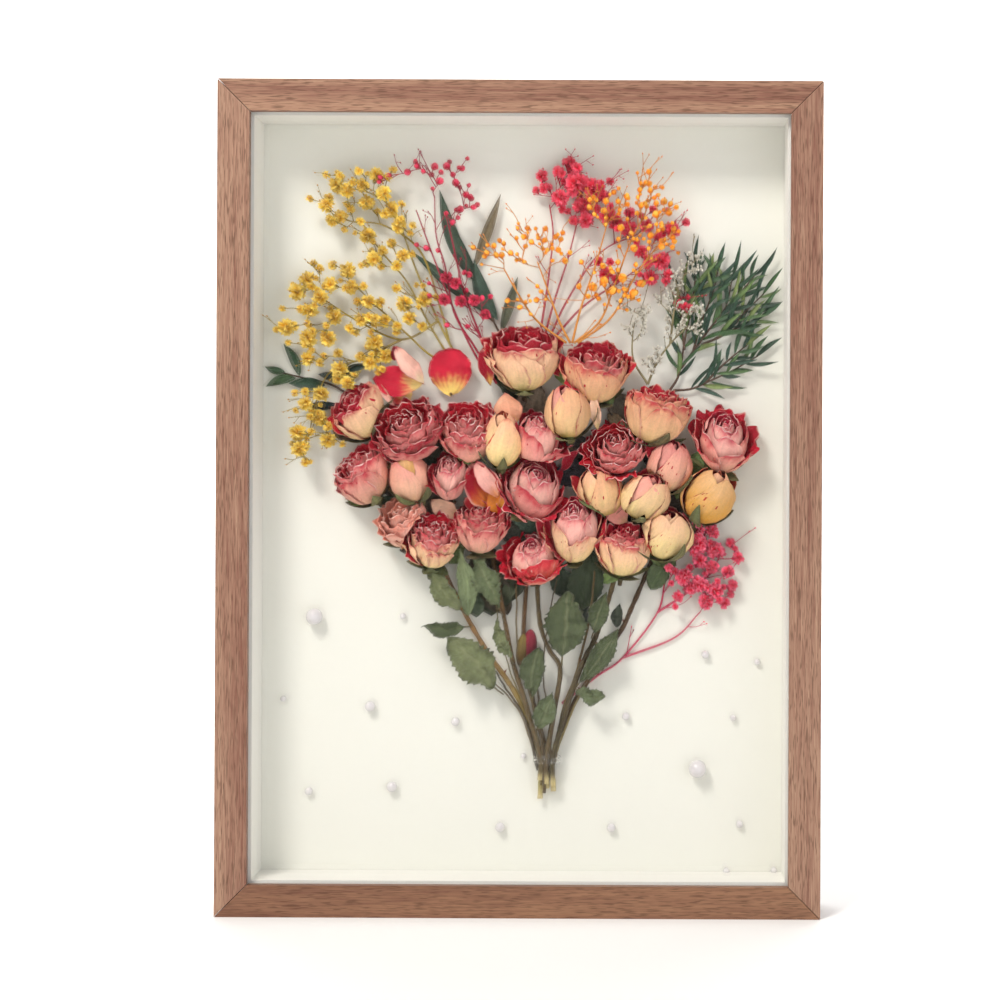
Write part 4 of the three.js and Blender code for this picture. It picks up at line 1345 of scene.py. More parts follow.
LOW, HIGH = 4.2, 7.8
STEMS = tuple(StemLook(*row) for row in (
    ("stem_far_left", LOW,
     ((10.4, 58.5), (10.2, 80), (0, 109), (-8, 123), (-18, 137), (-31, 159), (-46, 190)),
     (((-27, 152), (-53, 153), 9), ((-10, 115), (-40, 147), 23), ((-30, 158), (-51, 186), 13)),
     ("#8a8246", "#93602f"), (0.55,)),
    ("stem_centre_left", LOW,
     ((14, 64), (13.8, 82), (7, 108), (2, 134), (1, 150), (3, 184)),
     (((6, 110), (10.5, 142), 15), ((8, 95), (17, 117), 13)),
     ("#6c5636", "#5f4429"), (), True),
    ("stem_far_right", LOW,
     ((17.6, 62.5), (17.6, 82), (28, 109), (39, 127), (54, 150), (60, 163), (74, 196)),
     (((28, 117), (52, 151), 13), ((28, 119), (46, 115), 10)),
     ("#5e4a30", "#43301f"), (0.42, 0.6, 0.74)),
    ("stem_left", HIGH,
     ((10.4, 69), (10.4, 82), (3, 109), (-4, 131), (-8, 150), (-17, 196)),
     (((-10, 158), (-25, 190), 16), ((-4, 132), (-12, 158), 8)),
     ("#5c5238", "#6a5030")),
    ("stem_centre_right", HIGH,
     ((14, 67), (14, 82), (19, 112), (21, 130), (15, 140), (10, 155), (8, 182)),
     (((22, 131), (25, 172), 25),),
     ("#5a4c34", "#584a30")),
    ("stem_right", HIGH,
     ((17.6, 66), (17.6, 82), (26, 112), (34, 134), (40, 146), (46, 163), (53, 188)),
     (((38, 146), (46, 171), 12),),
     ("#4e4630", "#4a3c22"), (0.5, 0.66)),
))
FIBRES = (
    ((12, 70), (8, 95), (-4, 122), (-12, 150), (-16, 185)),
    ((9, 74), (3, 100), (-8, 118), (-14, 128)),
    ((11, 66), (12, 90), (4, 118), (-2, 142), (-3, 176)),
    ((16, 74), (16, 100), (12, 124), (14, 152), (19, 178)),
    ((8, 80), (0, 104), (-11, 118), (-22, 127)),
    ((18, 78), (22, 104), (30, 128), (37, 158), (40, 186)),
    ((19, 84), (26, 102), (34, 120)),
    ((13, 62), (12, 80), (10, 104), (8, 128)),
)


class RoseStem:
    """A dried stem: a fibrous bar with thorns and dull serrated leaves."""

    def __init__(self, look: StemLook, seed: int) -> None:
        self.look = look
        self.rng = np.random.default_rng(500 + seed)

    def bar(self, basket: Basket) -> None:
        """Adds the stem itself with its thorns.

        Args:
            basket: takes the surfaces.
        """
        line = line_through([over_card(x, self.look.layer, z) for x, z in self.look.route], 60)
        wobble = self.rng.normal(size=(60, 1))
        radii = 1.5 + 0.08 * wobble[:, 0] - 0.25 * np.linspace(0, 1, 60)
        share = np.linspace(0, 1, 60)[:, None]
        low, high = (linear(c) for c in self.look.bark)
        colours = (low * (1 - share) + high * share) * (1 + 0.12 * wobble)
        pale = smooth(0.09, 0.0, share)
        colours = colours * (1 - pale) + linear("#cdbd88") * pale
        ridge = wrinkle(line, 5, draw_seed(self.rng))
        basket.tube(line, radii * (1 + 0.07 * ridge), colours, sides=12)
        for place in self.look.thorns:
            at = int(place * 59)
            way = unit(line[at] - line[at - 1])
            out = np.cross(way, [0, 1, 0]) * self.rng.choice([-1, 1])
            spike = np.array([line[at] + out, line[at] + out * 3.2 + way * 0.6])
            basket.tube(spike, [0.8, 0.05], linear("#7a4a2c"), sides=5)

    def leaf(self, basket: Basket, order: int) -> None:
        """Adds one leaf with its short stalk.

        Args:
            basket: takes the surfaces.
            order: which leaf it is.
        """
        (x0, z0), (x1, z1), width = self.look.leaves[order]
        lift = self.look.layer + 6 + 1.5 * order
        foot = over_card(x0, self.look.layer, z0)
        base = over_card(x0 + 0.14 * (x1 - x0), lift, z0 + 0.14 * (z1 - z0))
        tip = over_card(x1, lift + 1.5, z1)
        green = linear(self.rng.choice(["#5c6747", "#4c5639", "#6d7450"]))
        rim = linear("#3d3a27")
        vein = linear("#7f8160")
        basket.tube(line_through([foot, (foot + base) / 2 + [0, -1, 0], base], 6), np.full(6, 0.45),
                    linear("#6a5c38"), sides=6)
        points, v, u = blade(base, tip, width, self.rng, rows=40, columns=15,
                             fold=self.rng.uniform(0.05, 0.3), arch=0.05, serrate=0.16,
                             widest=self.rng.uniform(0.42, 0.58), curl=0.16,
                             twist=self.rng.uniform(-0.7, 0.7), bend=self.rng.uniform(-0.1, 0.1))
        points, dent, fine = dented(points, self.rng, (8, 2.2), (1.5, 0.5), 0.7)
        ribs = np.abs(np.sin((v * 8 - np.abs(u) * 1.4) * math.pi)) < 0.14
        mid = np.abs(u) < 0.07
        line = (0.22 * ribs + 0.4 * mid)[..., None].clip(0, 0.4)
        edge = (0.6 * (np.abs(u) > 0.93))[..., None]
        colours = green * (1 + 0.2 * dent + 0.1 * fine)[..., None]
        colours = colours * (1 - line) + vein * line
        colours = colours * (1 - edge) + rim * edge
        basket.sheet(points, colours, colours * 0.85, 0.25)

    def build(self, material: Material) -> Object:
        """Makes the stem.

        Args:
            material: the bark and leaf finish.

        Returns:
            The stem's object.
        """
        basket = Basket()
        self.bar(basket)
        for order in range(len(self.look.leaves)):
            self.leaf(basket, order)
        if self.look.bud:
            self.closed_bud(basket)
        return basket.build(f"bark_{self.look.node}", material)

    def closed_bud(self, basket: Basket) -> None:
        """Adds the small withered bud half way up: dark petals in a brown cup.

        Args:
            basket: takes the surfaces.
        """
        turn = basis(np.array([0.1, -0.2, 1.0]))
        brown, olive = linear("#5f4426"), linear("#7c6a34")
        red, wine = linear("#8c2436"), linear("#5c1626")
        basket.ball(over_card(4.2, self.look.layer + 1.5, 141), np.array([4.2, 3.2, 10]), turn,
                    (wine, red), 10, 12)
        basket.ball(over_card(0.4, self.look.layer + 2, 139), np.array([3.4, 2.8, 9.5]), turn,
                    (brown, olive), 10, 12)


class ThinFibres:
    """Thin dry stalks and shreds of bark that run along the rose stems."""

    def build(self, material: Material) -> Object:
        """Makes the fibres.

        Args:
            material: their finish.

        Returns:
            One object of all of them.
        """
        rng = np.random.default_rng(31)
        basket = Basket()
        for order, route in enumerate(FIBRES):
            line = line_through([over_card(x, 5.5 + 0.8 * (order % 4), z) for x, z in route], 40)
            line = line + 0.35 * np.stack([wrinkle(line, 12, 3 * order + i) for i in range(3)], -1)
            bark = linear(rng.choice(["#6b5a3a", "#54452e", "#7d7048", "#4b4030"]))
            basket.tube(line, np.linspace(0.75, 0.4, 40) * rng.uniform(0.7, 1.3), bark, sides=6)
        return basket.build("thin_fibres", material)


class Floret(Enum):
    """What stands at the tips of a spray."""

    FLUFFY = "fluffy"
    FRILLY = "frilly"
    CLOSED = "closed"
    CALYX = "calyx"


@dataclass(frozen=True)
class SprayLook:
    """A spray: main stalks, and a thin stalk to each floret or bud.

    Attributes:
        node: name of the CAD node.
        floret: what stands at its tips.
        lift: height of its stalks above the card.
        spread: how much the florets' heights differ.
        stalks: places across and up along each main stalk.
        tips: place across, up and radius of each floret.
        colours: the florets' heart, petals and tips; in a round floret the darker heart is partly
            painted shade and the paler tips partly painted highlight.
        stalk: colour of the stalks.
        extra: how many more small florets stand near each tip.
        small: smallest and largest radius of those.
        swell: a factor on the radius of its main florets.
        over_heads: whether its small florets may lie in front of rose heads.
        bare: how many thin twigs end without a floret.
        loose: how far its small florets stand from the main ones.
    """

    node: str
    floret: Floret
    lift: float
    spread: float
    stalks: tuple[Route, ...]
    tips: tuple[Point, ...]
    colours: tuple[str, str, str]
    stalk: str
    extra: int = 1
    small: Place = (1.3, 2.4)
    swell: float = 1.0
    over_heads: bool = False
    bare: int = 0
    loose: float = 1.0


SPRAYS = tuple(SprayLook(*row) for row in (
    ("spray_yellow", Floret.FLUFFY, 5.5, 6,
     (((-38, 302), (-46, 318), (-58, 345), (-68, 372), (-78, 385), (-96, 391)),
      ((-46, 318), (-66, 308), (-90, 318), (-112, 332)),
      ((-66, 308), (-86, 298), (-105, 290), (-113, 272), (-116, 256)),
      ((-36, 292), (-51, 300), (-61, 309), (-74, 321), (-82, 328), (-95, 341)),
      ((-36, 294), (-43, 303), (-53, 320), (-63, 339), (-74, 352), (-84, 364)),
      ((-40, 306), (-45, 325), (-56, 356), (-76, 370), (-93, 372), (-104, 376))),
     ((-101, 391, 3.8), (-95, 388, 3.6), (-87, 391, 3.4), (-79, 396, 3.8), (-106, 380, 3.6),
      (-99, 374, 3.6), (-85, 382, 3.8), (-75, 386, 3.8), (-71, 378, 3.6), (-67, 369, 3.4),
      (-84, 364, 4.0), (-80, 351, 3.6), (-65, 353, 3.2), (-95, 345, 3.8), (-104, 337, 3.8),
      (-93, 336, 3.6), (-117, 340, 4.0), (-122, 333, 4.0), (-115, 323, 3.8),
      (-127, 314, 4.2), (-109, 330, 3.6), (-102, 320, 3.8), (-87, 318, 3.4),
      (-83, 328, 3.4), (-75, 318, 3.2), (-64, 327, 3.8), (-61, 319, 3.4), (-53, 330, 3.8),
      (-116, 308, 4.2), (-105, 308, 3.8), (-116, 297, 3.4), (-99, 291, 4.0),
      (-80, 306, 4.0), (-74, 299, 3.8), (-82, 295, 3.4), (-94, 284, 3.4),
      (-109, 278, 3.8), (-117, 273, 3.6), (-110, 265, 3.8), (-121, 257, 4.2),
      (-120, 248, 3.8), (-105, 253, 3.6)),
     ("#d8941a", "#f6cc34", "#fbe27a"), "#a08c40", 3, (1.7, 3.4), 1.3, False, 70, 1.1),
    ("spray_crimson", Floret.CLOSED, 10, 3,
     (((-14, 284), (-26, 304), (-37, 322), (-42, 347), (-47, 364), (-48, 385)),
      ((-12, 286), (-22, 308), (-32, 334), (-38, 360), (-42, 376)),
      ((-18, 286), (-32, 312), (-46, 346), (-58, 378)),
      ((-12, 288), (-20, 304), (-28, 318))),
     ((-72, 396, 1.6), (-62, 398, 1.8), (-48, 401, 2.0), (-41, 401, 2.0), (-33, 400, 1.6),
      (-45, 393, 2.0), (-36, 392, 2.0), (-31, 386, 1.8), (-28, 384, 1.7), (-34, 378, 2.0),
      (-38, 371, 1.7), (-52, 357, 1.7), (-41, 341, 3.6), (-36, 338, 3.6),
      (-42, 329, 3.8), (-33, 328, 3.6), (-26, 329, 3.6), (-20, 321, 3.4)),
     ("#a0102e", "#cc1a40", "#e8486a"), "#981c36", 2, (1.1, 1.7), 1.0, False, 30, 1.9),
    ("spray_red", Floret.FRILLY, 3, 4,
     (((8, 304), (12, 330), (14, 345), (16, 366), (14, 382)),
      ((10, 304), (17, 330), (24, 352), (30, 376)),
      ((12, 304), (24, 330), (42, 356), (62, 366)),
      ((14, 306), (32, 326), (52, 340), (66, 350))),
     ((10, 397, 3.5), (19, 399, 3.5), (29, 392, 7.0), (38, 390, 5.6), (20, 385, 4.8),
      (32, 381, 4.8), (43, 386, 3.8), (34, 373, 4.4), (46, 375, 4.8), (57, 369, 4.4),
      (67, 370, 3.8), (81, 368, 4.4), (75, 351, 5.0), (69, 342, 4.4), (64, 356, 3.8),
      (45, 344, 3.8), (84, 328, 2.6)),
     ("#ec1e44", "#ff3258", "#ff7288"), "#a82038", 3, (1.8, 3.6), 1.12, False, 40),
    ("spray_orange", Floret.CLOSED, 14, 3,
     (((26, 306), (20, 318), (14, 334), (8, 350)),
      ((28, 306), (42, 318), (50, 338), (58, 360), (64, 372)),
      ((24, 306), (8, 318), (-2, 332), (-10, 346)),
      ((27, 306), (32, 326), (40, 350), (46, 372)),
      ((30, 306), (48, 320), (62, 344), (74, 360))),
     ((-19, 354, 1.7), (-11, 353, 1.7), (-6, 354, 1.7), (1, 363, 1.7), (5, 360, 1.7),
      (12, 361, 1.7), (18, 363, 1.7), (-1, 325, 1.7), (8, 329, 1.7), (68, 392, 1.8),
      (69, 388, 1.7), (76, 382, 2.0), (56, 385, 1.7), (64, 380, 1.8), (72, 375, 2.0),
      (79, 376, 1.7), (45, 382, 1.8), (44, 377, 1.8), (53, 368, 2.0), (69, 364, 2.0),
      (81, 363, 1.8), (75, 358, 2.0), (60, 357, 2.0), (23, 350, 1.7), (38, 336, 2.4),
      (44, 339, 2.4), (49, 334, 2.5), (54, 341, 2.4), (60, 333, 2.5), (64, 338, 2.4)),
     ("#ee8412", "#ff9e1c", "#ffc650"), "#d08a3c", 5, (0.9, 1.6), 0.95, False, 70, 2.0),
    ("spray_pink", Floret.FRILLY, 1.5, 6,
     (((22, 110), (41, 125), (55, 135), (74, 160), (79, 180), (92, 200)),
      ((74, 160), (92, 172), (104, 182)),
      ((55, 135), (83, 146), (97, 160))),
     ((88, 202, 5.2), (96, 197, 5.2), (103, 205, 3.8), (105, 194, 4.8), (97, 188, 4.2),
      (103, 185, 3.8), (88, 180, 4.8), (85, 169, 3.3), (96, 176, 4.8), (105, 172, 4.8),
      (100, 167, 4.2), (116, 195, 1.9), (110, 174, 1.9)),
     ("#fc2854", "#ff3e68", "#ff86a0"), "#c43a5c", 3, (2.0, 4.0), 1.1, True, 16),
    ("sea_lavender", Floret.CALYX, 11, 1,
     (((68, 284), (73, 296), (80, 306), (90, 316)),
      ((68, 284), (60, 298), (60, 316)),
      ((80, 306), (83, 330), (88, 345))),
     ((61, 317, 2.2), (64, 311, 2.2), (58, 324, 1.9), (67, 322, 1.9), (91, 315, 2.4),
      (87, 319, 2.4), (79, 312, 1.9), (95, 318, 2.2), (86, 347, 2.2), (91, 351, 2.2),
      (83, 338, 1.9), (79, 330, 1.7), (67, 295, 1.7), (73, 301, 1.7)),
     ("#8a8068", "#c4bca6", "#f2eee2"), "#8f8462", 2, (1.5, 2.1), 1.25, False, 10, 1.3),
))


def clear_of_heads(place: Array, radius: float) -> bool:
    """Whether a floret stays beside every rose head.

    Args:
        place: its middle, in millimetres.
        radius: its radius.

    Returns:
        False where it would sit on a head.
    """
    return all(math.hypot((place[0] - look.spot[0]) / (look.size[0] / 2 + 0.6 * radius),
                          (place[2] - look.spot[1]) / (look.size[1] / 2 + 0.6 * radius)) > 1
               for look in HEADS)


class Spray:
    """A dried spray with branching stalks and many small florets."""

    def __init__(self, look: SprayLook, seed: int) -> None:
        self.look = look
        self.rng = np.random.default_rng(200 + seed)
        self.hues = [linear(c) for c in look.colours]

    def fluff(self, basket: Basket, centre: Array, radius: float, way: Array, count: int,
              wide: float) -> None:
        """Adds a round floret of many small notched petals.

        Args:
            basket: takes the surfaces.
            centre: its middle.
            radius: its radius.
            way: the way that its stalk arrives.
            count: how many petals.
            wide: the petals' width as a share of the radius.
        """
        tone = self.rng.uniform(0.88, 1.1)
        heart, body, tip = self.hues
        v = np.array([0.0, 0.45, 0.8, 1.0])[:, None]
        u = np.array([-1.0, 0.0, 1.0])[None, :]
        outline = np.array([0.2, 0.8, 1.0, 0.8])[:, None]
        for i in range(count):
            height = 1 - 1.8 * (i + 0.5) / count
            flat = math.sqrt(max(0.0, 1 - height * height))
            angle = GOLDEN_ANGLE * i
            local = np.array([flat * math.cos(angle), flat * math.sin(angle), height])
            local = unit(local + 0.22 * self.rng.normal(size=3))
            out = local @ basis(way)
            length = radius * self.rng.uniform(0.75, 1.05)
            frame = basis(out, self.rng.uniform(0, FULL_TURN))
            half = wide * radius * outline * self.rng.uniform(0.8, 1.2)
            notch = np.array([0, 0, 0, 0.16])[:, None] * (1 - np.abs(u)) * radius
            bow = 0.25 * v**2 * self.rng.uniform(-1, 1) + 0.12 * np.sin(3 * u + 9 * i) * v
            bow = radius * bow
            points = np.stack([u * half, bow + 0.3 * half * np.abs(u), length * v - notch], axis=-1)
            # Each petal runs from the darker heart to the paler tip: partly the floret's own
            # colour, partly painted shade in its middle and painted highlight at its tips.
            share = v[..., None] * np.ones((1, 3, 1))
            colours = np.where(share < 0.5, heart * (1 - 2 * share) + body * 2 * share,
                               body * (2 - 2 * share) + tip * (2 * share - 1))
            basket.grid(points @ frame + centre, colours * tone * self.rng.uniform(0.85, 1.1))
        self.cup(basket, centre - way * radius * 0.6, way, radius * 0.32)

    def cup(self, basket: Basket, centre: Array, way: Array, radius: float) -> None:
        """Adds the small green cup under a floret.

        Args:
            basket: takes the surface.
            centre: its middle.
            way: the way that its stalk arrives.
            radius: its radius.
        """
        green = linear(self.look.stalk)
        basket.ball(centre, np.array([0.8, 0.8, 1.2]) * radius, basis(way),
                    (green * 0.8, green), 4, 6)

    def closed(self, basket: Basket, centre: Array, radius: float, way: Array) -> None:
        """Adds a small closed bud: an egg with a few petal tips.

        Args:
            basket: takes the surfaces.
            centre: its middle.
            radius: its radius.
            way: the way that it points.
        """
        heart, body, tip = self.hues
        tone = self.rng.uniform(0.8, 1.15)
        basket.ball(centre, np.array([0.9, 0.9, 1.0]) * radius, basis(way),
                    (heart * tone, body * tone), 7, 8)
        for i in range(3):
            frame = basis(way, 2.1 * i + self.rng.uniform(0, 1))
            v = np.linspace(0, 1, 4)[:, None]
            u = np.linspace(-1, 1, 3)[None, :]
            out = radius * (0.98 * np.cos(v * 1.25) + 0.06)
            across = u * 0.6 * radius * np.sin(math.pi * (0.2 + 0.6 * v))
            points = np.stack([across, out * np.ones_like(u),
                               radius * (-0.35 + 1.5 * v) * np.ones_like(u)], axis=-1)
            share = v[..., None] * np.ones((1, 3, 1))
            basket.grid(points @ frame + centre, (body * (1 - share) + tip * share) * tone)

    def calyces(self, basket: Basket, centre: Array, radius: float, way: Array) -> None:
        """Adds a short comb of papery cups, as sea lavender bears them.

        Args:
            basket: takes the surfaces.
            centre: its middle.
            radius: its radius.
            way: the way that the comb runs.
        """
        heart, body, tip = self.hues
        for i in range(13):
            place = centre + way * radius * (i / 6 - 1) * 1.4 + 0.5 * self.rng.normal(size=3)
            aim = unit(way + 0.9 * self.rng.normal(size=3))
            turn = np.linspace(0, 2 * math.pi, 6, endpoint=False)[None, :]
            v = np.linspace(0, 1, 3)[:, None]
            wide = 0.16 + 0.55 * v**1.4
            points = np.stack([wide * np.cos(turn), wide * np.sin(turn),
                               1.9 * v * np.ones_like(turn)], axis=-1)
            share = v[..., None] * np.ones((1, 6, 1))
            basket.grid(points @ basis(aim) + place, heart * (1 - share) + tip * share, closed=True)

    def flower(self, basket: Basket, centre: Array, radius: float, way: Array) -> None:
        """Adds what stands at one tip.

        Args:
            basket: takes the surfaces.
            centre: its middle.
            radius: its radius.
            way: the way that its stalk arrives.
        """
        if self.look.floret is Floret.CALYX:
            self.calyces(basket, centre, radius, way)
        elif (self.look.floret is Floret.CLOSED and radius < 3) or radius < 1.5:
            self.closed(basket, centre, radius, way)
        elif self.look.floret is Floret.FLUFFY:
            self.fluff(basket, centre, radius, way, int(12 + 6 * radius), 0.34)
        else:
            self.fluff(basket, centre, radius, way, int(20 + 9 * radius), 0.27)

    def bare_twigs(self, basket: Basket, tree: Array, root: Array, bark: Array) -> None:
        """Adds forked twigs that have lost their florets.

        Args:
            basket: takes the surfaces.
            tree: points along the stalks and twigs.
            root: the foot of the spray.
            bark: colour of the stalks.
        """
        rng = self.rng
        for _ in range(self.look.bare):
            foot = tree[int(rng.integers(len(tree)))]
            aim = unit(foot - root + 1e-3) + np.array([0.45, 0.12, 0.45]) * rng.normal(size=3)
            end = foot + unit(aim) * rng.uniform(7, 17)
            if not clear_of_heads(end, 1.0) or abs(end[0]) > 139:
                continue
            twig = line_through([foot, (foot + end) / 2 + 0.6 * rng.normal(size=3), end], 6)
            tone = bark * rng.uniform(0.8, 1.2)
            basket.tube(twig, np.linspace(0.24, 0.14, 6), tone, sides=4)
            fork = twig[3] + unit(aim + 0.5 * rng.normal(size=3)) * rng.uniform(3, 7)
            basket.tube(np.array([twig[3], (twig[3] + fork) / 2, fork]), [0.18, 0.16, 0.12], tone,
                        sides=4)
            for tip in (end, fork):
                basket.ball(tip, np.array([0.42, 0.42, 0.6]), basis(unit(aim)),
                            (tone, self.hues[0]), 4, 5)

    def all_tips(self) -> list[tuple[Array, float]]:
        """The tips of the look with smaller ones scattered near them.

        Returns:
            The place and radius of each floret.
        """
        look, rng = self.look, self.rng
        ends = []
        for x, z, radius in look.tips:
            h = look.lift + 0.9 * radius + look.spread * rng.uniform(0, 1)
            ends.append((over_card(x, h, z), radius * look.swell))
            for _ in range(look.extra):
                small = rng.uniform(*look.small)
                away = (radius + small) * rng.uniform(0.7, 1.5) * look.loose
                angle = rng.uniform(0, 2 * math.pi)
                side = over_card(x + away * math.cos(angle), h + rng.uniform(-2.5, 2.5),
                                 z + away * math.sin(angle))
                if look.over_heads or clear_of_heads(side, small):
                    ends.append((side, small))
        return ends

    def build(self, material: Material) -> Object:
        """Makes the spray: its tips join the nearest stalk or twig in order of distance.

        Args:
            material: the florets' finish.

        Returns:
            The spray's object.
        """
        look = self.look
        basket = Basket()
        bark = linear(look.stalk)
        lines = [line_through([over_card(x, look.lift, z) for x, z in s], 30) for s in look.stalks]
        for line in lines:
            basket.tube(line, np.linspace(0.7, 0.34, len(line)), bark, sides=6)
        tree = np.concatenate(lines)
        root = lines[0][0]
        ends = self.all_tips()
        ends.sort(key=lambda end: float(np.linalg.norm(tree - end[0], axis=1).min()))
        for end, radius in ends:
            grow = unit(end - root)
            away = np.linalg.norm(tree - end, axis=1)
            level = (tree - root) @ grow
            over = np.maximum(0, level + 0.8 * away - (end - root) @ grow)
            cost = away + 1.2 * over + 2 * (away < 4)
            foot = tree[int(cost.argmin())]
            bow = 0.07 * np.linalg.norm(end - foot) * unit(self.rng.normal(size=3))
            twig = line_through([foot, (foot + end) / 2 + bow, end], 7)
            basket.tube(twig, np.linspace(0.3, 0.2, 7), bark * self.rng.uniform(0.8, 1.15), sides=4)
            tree = np.concatenate([tree, twig[1:5]])
            self.flower(basket, end, radius, unit(twig[-1] - twig[-2]))
        self.bare_twigs(basket, tree, root, bark)
        return basket.build(f"florets_{look.node}", material, hollow(141.6))


@dataclass(frozen=True)
class SprigLook:
    """A foliage sprig: stalks, and leaves from their feet to their tips.

    Attributes:
        node: name of the CAD node.
        lift: height above the card.
        stalks: places across and up along each stalk.
        leaves: for each leaf its foot, its tip and its width.
        greens: colours that the leaves take in turn.
        stalk: colour of the stalks.
    """

    node: str
    lift: float
    stalks: tuple[Route, ...]
    leaves: tuple[Leaf, ...]
    greens: tuple[str, ...]
    stalk: str


SPRIGS = tuple(SprigLook(*row) for row in (
    ("lance_leaves", 2.5,
     (((-8, 302), (-16, 318), (-25, 340), (-28, 348)), ((-16, 318), (-32, 332))),
     (((-28, 341), (-46, 390), 8.0), ((-26, 343), (-38, 371), 7.0),
      ((-27, 347), (-12.5, 388), 5.6), ((-20, 323), (-61, 356), 6.8),
      ((-14, 319), (-27, 352), 8.5), ((-12, 312), (-3, 343), 5.6)),
     ("#3a4c3c", "#2f4236", "#665a42", "#384a3a", "#34473a", "#4a4e3c"), "#54402e"),
    ("oval_leaf_sprig", 1.6,
     (((-90, 274), (-104, 283), (-120, 287), (-137, 291)),),
     (((-122, 288), (-131, 306), 5.4), ((-130, 290), (-141, 293), 4.2),
      ((-124, 287), (-140.6, 282), 5.4), ((-108, 283), (-128, 284), 6.8),
      ((-98, 285), (-112, 289), 5.2), ((-101, 285), (-84, 295), 6.0),
      ((-100, 272), (-122, 270), 4.8)),
     ("#2f4a34", "#3a5238", "#36502f", "#274030", "#1f3436", "#21382f", "#1c3338"),
     "#4c3a2e"),
))


class Sprig:
    """Dried leaves on a thin stalk."""

    def __init__(self, look: SprigLook, seed: int) -> None:
        self.look = look
        self.rng = np.random.default_rng(700 + seed)

    def leaf(self, basket: Basket, foot: Array, tip: Array, width: float, green: Array) -> None:
        """Adds one smooth leaf.

        Args:
            basket: takes the surface.
            foot: where it grows.
            tip: its tip.
            width: its width.
            green: its colour.
        """
        points, v, u = blade(foot, tip, width, self.rng, rows=14, columns=7, fold=0.16, arch=0.03,
                             twist=self.rng.uniform(-0.7, 0.7), widest=0.45, curl=0.03,
                             bend=self.rng.uniform(-0.09, 0.09))
        # The midrib is paler, and the half of the leaf with u above 0 is painted lighter than the
        # other: a painted lit side beside a shaded one.
        pale = (0.5 * (np.abs(u) < 0.1) + 0.12 * (u > 0))[..., None]
        dent = wrinkle(points, 6, draw_seed(self.rng))[..., None]
        basket.grid(points, (green * (1 + 0.2 * dent)) * (1 - pale) + green * 2.0 * pale)

    def build(self, material: Material) -> Object:
        """Makes the sprig.

        Args:
            material: the leaves' finish.

        Returns:
            The sprig's object.
        """
        look = self.look
        basket = Basket()
        bark = linear(look.stalk)
        for stalk in look.stalks:
            line = line_through([over_card(x, look.lift, z) for x, z in stalk], 20)
            basket.tube(line, np.linspace(0.7, 0.4, 20), bark, sides=7)
        for i, ((x0, z0), (x1, z1), width) in enumerate(look.leaves):
            green = linear(look.greens[i % len(look.greens)])
            self.leaf(basket, over_card(x0, look.lift, z0), over_card(x1, look.lift + 0.8, z1),
                      width, green)
        return basket.build(f"leaves_{look.node}", material)


@dataclass(frozen=True)
class NeedleLook:
    """The needle-leaved branch.

    Attributes:
        node: name of the CAD node.
        lift: height above the card.
        stalks: places across and up along each stalk.
        pitch: distance between leaves along a stalk.
        length: shortest and longest leaf.
        width: width of a leaf.
        greens: colours that the leaves take in turn.
        bounds: furthest left and right that a leaf may reach.
    """

    node: str = "needle_foliage"
    lift: float = 3.0
    stalks: tuple[Route, ...] = (
        ((80, 281), (85, 290), (88, 308), (92, 327), (96, 336), (104, 346)),
        ((86, 293), (101, 314), (110, 326), (114, 343)),
        ((97, 306), (110, 312), (121, 324), (131, 334)),
        ((82, 281), (92, 282), (101, 286), (114, 292), (128, 300)),
        ((88, 303), (86, 320), (88, 336)),
        ((108, 323), (118, 334), (126, 344)),
        ((104, 309), (118, 316), (129, 321)),
        ((98, 284), (110, 296), (122, 306)),
        ((92, 300), (97, 318), (103, 334), (106, 346)),
        ((91, 322), (93, 336), (94, 348)),
    )
    pitch: float = 2.8
    length: Place = (11.0, 24.0)
    width: float = 2.4
    greens: tuple[str, ...] = ("#2c4632", "#344f36", "#27402f", "#48623a", "#5a7040", "#2a4436",
                               "#35522f", "#6f7e4a", "#243a2c", "#3c5638")
    bounds: Place = (77.0, 141.2)


class NeedleBranch(Sprig):
    """A branch with narrow leaves on both sides of forked stalks."""

    def build(self, material: Material) -> Object:
        """Makes the branch.

        Args:
            material: the leaves' finish.

        Returns:
            The branch's object.
        """
        look = self.look
        rng = self.rng
        basket = Basket()
        bark = linear("#5c4638")
        for stalk in look.stalks:
            line = line_through([over_card(x, look.lift, z) for x, z in stalk], 40)
            basket.tube(line, np.linspace(0.75, 0.35, 40), bark, sides=7)
            length = float(np.linalg.norm(np.diff(line, axis=0), axis=1).sum())
            count = int(length / look.pitch)
            for i in range(1, count + 1):
                share = i / count
                at = min(38, int(share * 39))
                way = unit(line[at + 1] - line[at])
                side = 0.0 if i == count else (1 if i % 2 else -1) * rng.uniform(0.35, 0.75)
                c, s = math.cos(side), math.sin(side)
                aim = np.array([c * way[0] + s * way[2], -rng.uniform(-0.05, 0.45),
                                c * way[2] - s * way[0]])
                if share < 0.2 and rng.uniform() < 0.6:
                    continue
                reach = rng.uniform(*look.length)
                tip = line[at] + unit(aim) * reach
                tip[0] = np.clip(tip[0], *look.bounds)
                tip[1] = min(tip[1], CARD_FRONT - 0.6)
                green = linear(look.greens[int(rng.integers(len(look.greens)))])
                self.leaf(basket, line[at], tip, look.width * rng.uniform(0.8, 1.15), green)
        return basket.build(f"leaves_{look.node}", material)


# Frame, thread, pearls and studio


